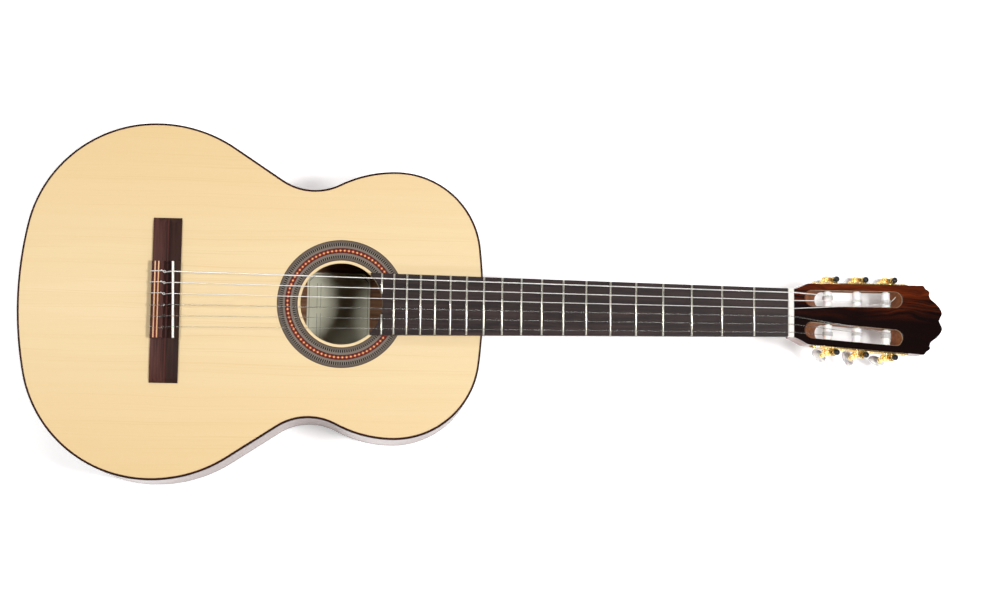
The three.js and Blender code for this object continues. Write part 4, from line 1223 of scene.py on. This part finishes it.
def gear_shape():
    """Wheel with rounded teeth that lean with the worm's lead."""
    pitch = 2 * pi / GEAR_TEETH
    root, flank, shoulder, tip = (4.05, 0.33), (4.5, 0.27), (5.2, 0.19), (5.5, 0.13)
    tooth = [(radius, -share) for radius, share in (root, flank, shoulder, tip)]
    tooth += [tip, shoulder, flank, root]
    lean = WORM_LEAD / (2 * pi * WORM_PITCH_RADIUS * GEAR_PITCH_RADIUS)
    half = GEAR_WIDTH / 2
    rings = []
    for v in (-half, -half + 0.35, -half / 2, 0, half / 2, half - 0.35, half):
        size = 0.9 if abs(v) == half else 1
        ring = []
        for i in range(GEAR_TEETH):
            for radius, offset in tooth:
                a = (i + 0.5 + offset) * pitch - lean * v
                ring.append((radius * size * cos(a), v, radius * size * sin(a)))
        rings.append(ring)
    return skin(rings)


def screw_head(radius, height, direction):
    """Domed head that stands out along v, and a bar across its top that is drawn black as painted shade in
    place of the slot cut into it.
    """
    profile = [(radius, 0), (radius, height * 0.45), (radius * 0.8, height * 0.85), (radius * 0.45, height)]
    dome = turned([(r, direction * h) for r, h in profile], 20)
    long, wide = radius * 0.86, 0.35
    bar = [(-long, -wide), (long, -wide), (long, wide), (-long, wide)]
    return dome, skin([[(u, direction * v, n) for u, n in bar] for v in (height * 0.7, height * 1.03)])


def worm_thread():
    """The thread as a strip wound round the shaft, thin at both ends."""
    turns, root, shaft, tip = 2.7, 1.5, 1.95, 3.45
    steps = int(turns * 40)
    rings = []
    for i in range(steps + 1):
        place = i / steps - 0.5
        a = pi + place * turns * 2 * pi
        crest = shaft + (tip - shaft) * max(0.05, min(1, (0.5 - abs(place)) * 14))
        ring = [(root, -0.72), (crest - 0.12, -0.34), (crest, -0.22), (crest, 0.22), (crest - 0.12, 0.34),
                (root, 0.72)]
        rings.append([(r * cos(a), r * sin(a), place * turns * WORM_LEAD + n) for r, n in ring])
    return skin(rings)


def worm_shaft():
    foot = BUTTON_N - ROLLER_N + 7
    profile = [(0.4, foot + 0.4), (3.0, foot + 0.4), (3.1, foot + 1.2), (2.7, foot + 2.4), (2.1, foot + 2.9),
               (1.9, foot + 3.4), (1.9, -7.6), (2.3, -7.3), (2.3, -6.3), (1.9, -6.0), (1.9, 5.3)]
    return turned(profile, 28, "N")


def ball_shape():
    """Ball on a short neck at the free end of the worm."""
    neck = [(2.1, 5.2), (2.2, 5.6)]
    turns = [-pi / 2 + pi * (i + 0.35) / 12.7 for i in range(1, 12)]
    return turned(neck + [(3.25 * cos(a), 8.3 + 2.9 * sin(a)) for a in turns], 28, "N")


def button_shape():
    """Flattened button, broadest near the shaft, with a rounded rim."""
    wide, thin, half = 9.2, 4.2, 7.0
    rings = []
    for i in range(25):
        share = i / 24
        n = half * cos(pi * share)
        size = sin(pi * share) ** 0.55 if 0 < share < 1 else 0.02
        body = size * (1.0 - 0.032 * (n / half) - 0.10 * max(0, n / half) ** 2)
        flare = 1 + 0.06 * cos(2 * pi * share)
        ring = []
        for j in range(40):
            a = 2 * pi * j / 40
            u = wide * body * flare * copysign(abs(cos(a)) ** 0.9, cos(a))
            v = thin * min(1, size * 1.05) * copysign(abs(sin(a)) ** 0.8, sin(a))
            ring.append((u, v, n))
        rings.append(ring)
    return skin(rings)


def roller_shape():
    """Roller with a rim at each end, on a spindle that runs from the far wall's pin hole to the gear."""
    near, end = -SLOT_INSET + ROLLER_HALF, -SLOT_INSET - ROLLER_HALF
    radius, waist = ROLLER_RADIUS, ROLLER_RADIUS - 0.25
    pin = -SLOT_INSET - SLOT_HALF - 4.8
    profile = [(0.3, pin), (2.4, pin), (2.4, end), (radius - 0.3, end), (radius, end + 0.3),
               (radius, end + 1.2), (waist, end + 1.5), (waist, near - 1.5), (radius, near - 1.2),
               (radius, near - 0.3), (radius - 0.3, near), (3.1, near), (3.1, 2.6), (0.3, 2.6)]
    return turned(profile, 40)


def plate_outline():
    """Side view of a tuning plate in u and n: straight edges with lobed ends."""
    start, end, half, middle = 25, 140, 7, ROLLER_N
    lobes = [(0, 2.6), (-2.6, 3.6), (-2.2, 5.6), (1.6, 7)]
    ring = []
    for corner, flip_u, flip_n in ((start, 1, 1), (end, -1, 1), (end, -1, -1), (start, 1, -1)):
        points = [(0.4 + max(0, u + 2.6), n) for u, n in lobes]
        points = [(corner + flip_u * u, middle + flip_n * min(n, half)) for u, n in points]
        ring += points if flip_u * flip_n > 0 else points[::-1]
    return ring


def post_shape(u, n, side):
    """Bracket that holds the worm: a tab with a round end."""
    half_width, reach, foot, half = 2.6, 5.4, 1.2, 0.8
    turns = [pi * i / 12 for i in range(13)]
    loop = [(u - half_width * cos(a), reach + half_width * sin(a)) for a in turns]
    loop = [(u - half_width, foot)] + loop + [(u + half_width, foot)]
    return skin([[(p, side * v, n + dn) for p, v in loop] for dn in (-half, half)])


# Name of a side, its sign, its strings from the nut outwards and how far their buttons are turned
SIDES = (("bass", 1, (6, 5, 4), (8, 66, 58)), ("treble", -1, (1, 2, 3), (-42, -62, -24)))


def make_plate(name, side):
    """Plate with its posts, bosses and screws."""
    place = tuner_frame(side)
    near, far = side * 0.1, side * 1.4
    plate = skin([[(u, v, n) for u, n in plate_outline()] for v in (near, far)])
    bevel(piece(f"plate_{name}_gold", plate, "engraved", f"plate_{name}", place=place), 0.3)
    posts, screws, cuts = [], [], []
    boss = turned([(r, side * v) for r, v in ((4.4, 1.2), (4.4, 2.0), (3.9, 2.3), (3.3, 2.3))], 28)
    for u in TUNERS:
        posts += [post_shape(u + WORM_OFFSET, ROLLER_N + n, side) for n in (-POST_OFFSET, POST_OFFSET)]
        posts.append(moved(boss, u, 0, ROLLER_N))
    bevel(piece(f"plate_{name}_posts", merged(posts), "gold", place=place), 0.2)
    head, cross = screw_head(2.1, 1.1, side)
    for u in PLATE_SCREWS:
        screws.append(moved(head, u, far, ROLLER_N + 0.2))
        cuts.append(moved(cross, u, far, ROLLER_N + 0.2))
    piece(f"plate_{name}_screws", merged(screws), "gold", place=place)
    # Black bars across the screw heads: painted shade standing for their slots.
    piece(f"plate_{name}_screw_slots", merged(cuts), "black", place=place)


def about_n(shape, degrees):
    """The shape turned about the worm's axis."""
    turn = Matrix.Rotation(radians(degrees), 4, "Z")
    return [turn @ Vector(p) for p in shape[0]], shape[1]


def make_machine(side, number, u, turn):
    """Roller, gear, worm and button of one string."""
    place = tuner_frame(side)
    spindle, knob = f"spindle_{number}", f"knob_{number}"
    gear_v = side * GEAR_V
    face_v = gear_v + side * GEAR_WIDTH / 2
    worm_u = u + WORM_OFFSET
    roller = moved(mirrored_for(side, roller_shape()), u, 0, ROLLER_N)
    piece(f"roller_{number}_white", roller, "roller", f"roller_{number}", spindle, place)
    gear = moved(gear_shape(), u, gear_v, ROLLER_N)
    piece(f"gear_{number}_gold", gear, "gold", f"gear_{number}", spindle, place, 28)
    head, cross = [moved(shape, u, face_v, ROLLER_N) for shape in screw_head(2.6, 1.2, side)]
    piece(f"gear_{number}_screw", head, "gold", None, spindle, place)
    # Black bar across the screw head: painted shade standing for its slot.
    piece(f"gear_{number}_screw_slot_shade", cross, "black", None, spindle, place)
    worm = moved(merged([worm_thread(), worm_shaft()]), worm_u, gear_v, ROLLER_N)
    piece(f"worm_{number}_gold", worm, "gold", f"worm_{number}", knob, place, 40)
    ball = moved(ball_shape(), worm_u, gear_v, ROLLER_N)
    piece(f"worm_{number}_ball", ball, "black", None, knob, place)
    button = moved(about_n(button_shape(), turn), worm_u, gear_v, BUTTON_N)
    piece(f"button_{number}_pearl", button, "pearl", f"button_{number}", knob, place)


def make_tuners():
    for name, side, numbers, turns in SIDES:
        make_plate(name, side)
        for number, u, turn in zip(numbers, TUNERS, turns):
            make_machine(side, number, u, turn)


# Strings


def landing(number):
    """Side, place of the roller along it, and distance from the centreline where a string meets it."""
    for _, side, numbers, _ in SIDES:
        if number in numbers:
            index = numbers.index(number)
            return side, TUNERS[index], ROLLER_LANDINGS[index]


def roller_contact(number, radius, start):
    """Head-frame point where the string meets its roller, and the string's angle of descent."""
    side, u, y = landing(number)
    centre = HEAD.inverted() @ tuner_frame(side) @ Vector((u, 0, ROLLER_N))
    clear = ROLLER_RADIUS + radius
    across, rise = centre.x - start.x, centre.z - start.z
    fall = atan2(-rise, across) - asin(clear / hypot(across, rise))
    touch = Vector((centre.x + clear * sin(fall), side * y, centre.z + clear * cos(fall)))
    return touch, fall


def make_string(number):
    """One string: from its knot through the tie block, over the saddle and the nut, down to its roller."""
    radius = STRING_DIAMETERS[number - 1] / 2
    wound = number > 3
    look = "wound" if wound else "nylon"
    place = string_place(number)
    saddle_y, nut_y = SADDLE_SPAN * place, NUT_SPAN * place
    crest = Vector((saddle_x(saddle_y), saddle_y, SADDLE_HEIGHT + radius))
    nut = Vector((NUT_X, nut_y, NUT_HEIGHT - 0.05 + radius))
    nut_end = nut + Vector((NUT_LENGTH - 0.4, 0, 0))
    to_head = HEAD.inverted() @ GUITAR
    touch, fall = roller_contact(number, radius, to_head @ nut_end)
    touch_here = to_head.inverted() @ touch
    path = [(BRIDGE_REAR + 12.6, saddle_y, 4.3), (BRIDGE_REAR + 14.2, saddle_y, 5.2)]
    path += smooth_path([crest + Vector((x, 0, z)) for x, z in ((-2.2, -0.9), (-0.7, -0.02), (0.9, 0))], 4)
    path += [crest.lerp(nut, i / 24) for i in range(1, 24)]
    path += [nut + Vector((1, 0, 0)), nut_end]
    path += [nut_end.lerp(touch_here, i / 8) for i in range(1, 9)]
    piece(f"string_{number}_line", tube(path, radius), look, f"string_{number}")
    make_knot(number, radius, saddle_y, look)
    make_winding(number, radius, touch, fall, "wound" if wound else "nylon_turns")


def make_knot(number, radius, y, look):
    """The end behind the tie block: over its top, round the string at its front edge and under itself."""
    top = BLOCK_HEIGHT + 0.15 + radius
    lean = 1 if number > 3 else -1
    stops = ((1.5, 0, 4.3), (-0.5, 0, 4.4), (-1.0 - radius, 0.2, 6.2), (-0.3, 0.4, top - 0.4),
             (1.6, 0.5, top), (6, 0.7, top), (11.6, 0.8, top + 0.05), (13.5 + radius, 0.8, top - 0.5),
             (14.0 + radius, 0.1, top - 2.0), (13.9 + radius, -0.8, top - 1.0), (13.0, -0.7, top + 0.4),
             (11.9, 0.3, top + 2 * radius + 0.1), (11.0, 1.2, top + radius), (9.8, 1.5, top))
    path = smooth_path([(BRIDGE_REAR + x, y + lean * aside, z) for x, aside, z in stops])
    piece(f"string_{number}_knot", tube(path, radius), look)


def make_winding(number, radius, touch, fall, look):
    """Turns round the roller, from where the string lands to the hole in the roller's middle."""
    side, u, _ = landing(number)
    place = tuner_frame(side)
    start = (place.inverted() @ HEAD @ touch).y
    pitch = 2 * radius + 0.06
    hole = -side * SLOT_INSET
    turns = max(2, round(abs(hole - start) / pitch)) + 0.35
    step = copysign(max(abs(hole - start) / turns, pitch), hole - start)

    def point(reach, angle, v):
        return u + reach * sin(angle), v, ROLLER_N + reach * cos(angle)

    reach = ROLLER_RADIUS + radius
    path = []
    for i in range(int(turns * 28) + 1):
        turn = i / 28
        path.append(point(reach, fall + 2 * pi * turn, start + step * turn))
    last = 2 * pi * turns + fall + 0.12
    path += [point(reach - depth, last, path[-1][1]) for depth in (0.6, 1.6, 3.0)]
    body = f"spindle_{number}"
    piece(f"string_{number}_turns", tube(path, radius, 8), look, None, body, place)
    if number == LOOSE_END:
        end = [(u + along, hole + side * v, ROLLER_N + up)
               for along, v, up in ((4.3, -3, 1), (7.3, 0.3, 3.5), (10, 3.4, 4.5))]
        piece(f"string_{number}_end", tube(smooth_path(end, 4), radius, 8), look, None, body, place)


# Inside of the body


def dress_cad_nodes():
    """Real materials for the CAD nodes that keep their shape."""
    inside = {"lining": "slot", "neck_block": "inside", "tail_block": "inside", "back_bar": "inside",
              "harmonic": "bare_spruce", "fan": "bare_spruce"}
    for name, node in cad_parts.items():
        for start, look in inside.items():
            if name.startswith(start):
                node.data.materials.clear()
                node.data.materials.append(LOOKS[look][0])


# Stage, light and camera


def studio_sky():
    """World that is bright all round and dark overhead, so that level glossy wood stays deep."""
    world = bpy.data.worlds.new("studio")
    world.use_nodes = True
    tree = world.node_tree
    coordinate = tree.nodes.new("ShaderNodeTexCoord")
    parts = tree.nodes.new("ShaderNodeSeparateXYZ")
    tree.links.new(coordinate.outputs["Generated"], parts.inputs[0])
    ramp = tree.nodes.new("ShaderNodeValToRGB")
    for element, (position, grey) in zip(ramp.color_ramp.elements, ((0.1, 0.85), (0.58, 0.03))):
        element.position = position
        element.color = (grey, grey, grey, 1)
    tree.links.new(parts.outputs[2], ramp.inputs[0])
    tree.links.new(ramp.outputs[0], tree.nodes["Background"].inputs["Color"])
    bpy.context.scene.world = world


def make_stage():
    size = 9.0
    mesh = bpy.data.meshes.new("floor")
    corners = [(-size, -size, 0), (size, -size, 0), (size, size, 0), (-size, size, 0)]
    mesh.from_pydata(corners, [], [(0, 1, 2, 3)])
    floor = in_scene("floor", mesh)
    mesh.materials.append(studio_white())
    floor.location.z = -0.0005


def area_light(name, place, target, size, power):
    data = bpy.data.lights.new(name, "AREA")
    data.shape = "RECTANGLE"
    data.size, data.size_y = size
    data.energy = power
    light = in_scene(name, data)
    light.location = place
    light.rotation_euler = (Vector(target) - Vector(place)).to_track_quat("-Z", "Y").to_euler()


def make_lights():
    """Small lamps over the body's ends and its bass side, and a long strip along either side."""
    middle, lamp, strip = (-0.1, 0, 0), (0.42, 0.42), (2.4, 0.4)
    area_light("right_softbox", (1.1, -0.3, 2.4), middle, lamp, 50)
    area_light("left_softbox", (-1.6, 0.05, 2.3), middle, lamp, 27)
    area_light("bass_softbox", (-0.75, 1.25, 2.3), middle, lamp, 6)
    area_light("bass_strip", (0.1, 2.2, 1.6), (0, 0, 0), strip, 10)
    area_light("treble_strip", (0.1, -2.2, 1.6), (0, 0, 0), strip, 10)


def make_camera():
    """Above the guitar, turned a little about each axis, looking down on the strings."""
    target = Vector((-17.503, -12.5328, -2500))  # the guitar's origin, seen from the camera
    pitch, yaw, roll = -0.1256475, 0.0629091, -0.0133624
    turn = Matrix.Rotation(pitch, 3, "X") @ Matrix.Rotation(yaw, 3, "Y") @ Matrix.Rotation(roll, 3, "Z")
    back = turn.transposed()
    data = bpy.data.cameras.new("camera")
    data.sensor_width = 36
    data.lens = 84.8355372
    data.clip_end = 50
    camera = in_scene("camera", data)
    camera.matrix_world = Matrix.Translation(GUITAR @ -(back @ target)) @ back.to_4x4()
    bpy.context.scene.camera = camera


make_camera()
studio_sky()
make_stage()
make_lights()
make_top()
make_bindings()
make_ribs()
make_tail_strip()
make_back()
make_label()
make_bridge()
make_bones()
make_fretboard()
make_frets()
make_neck()
make_head()
make_veneer()
make_tuners()
for string_number in range(1, 7):
    make_string(string_number)
dress_cad_nodes()
bpy.context.scene.view_settings.view_transform = "Standard"
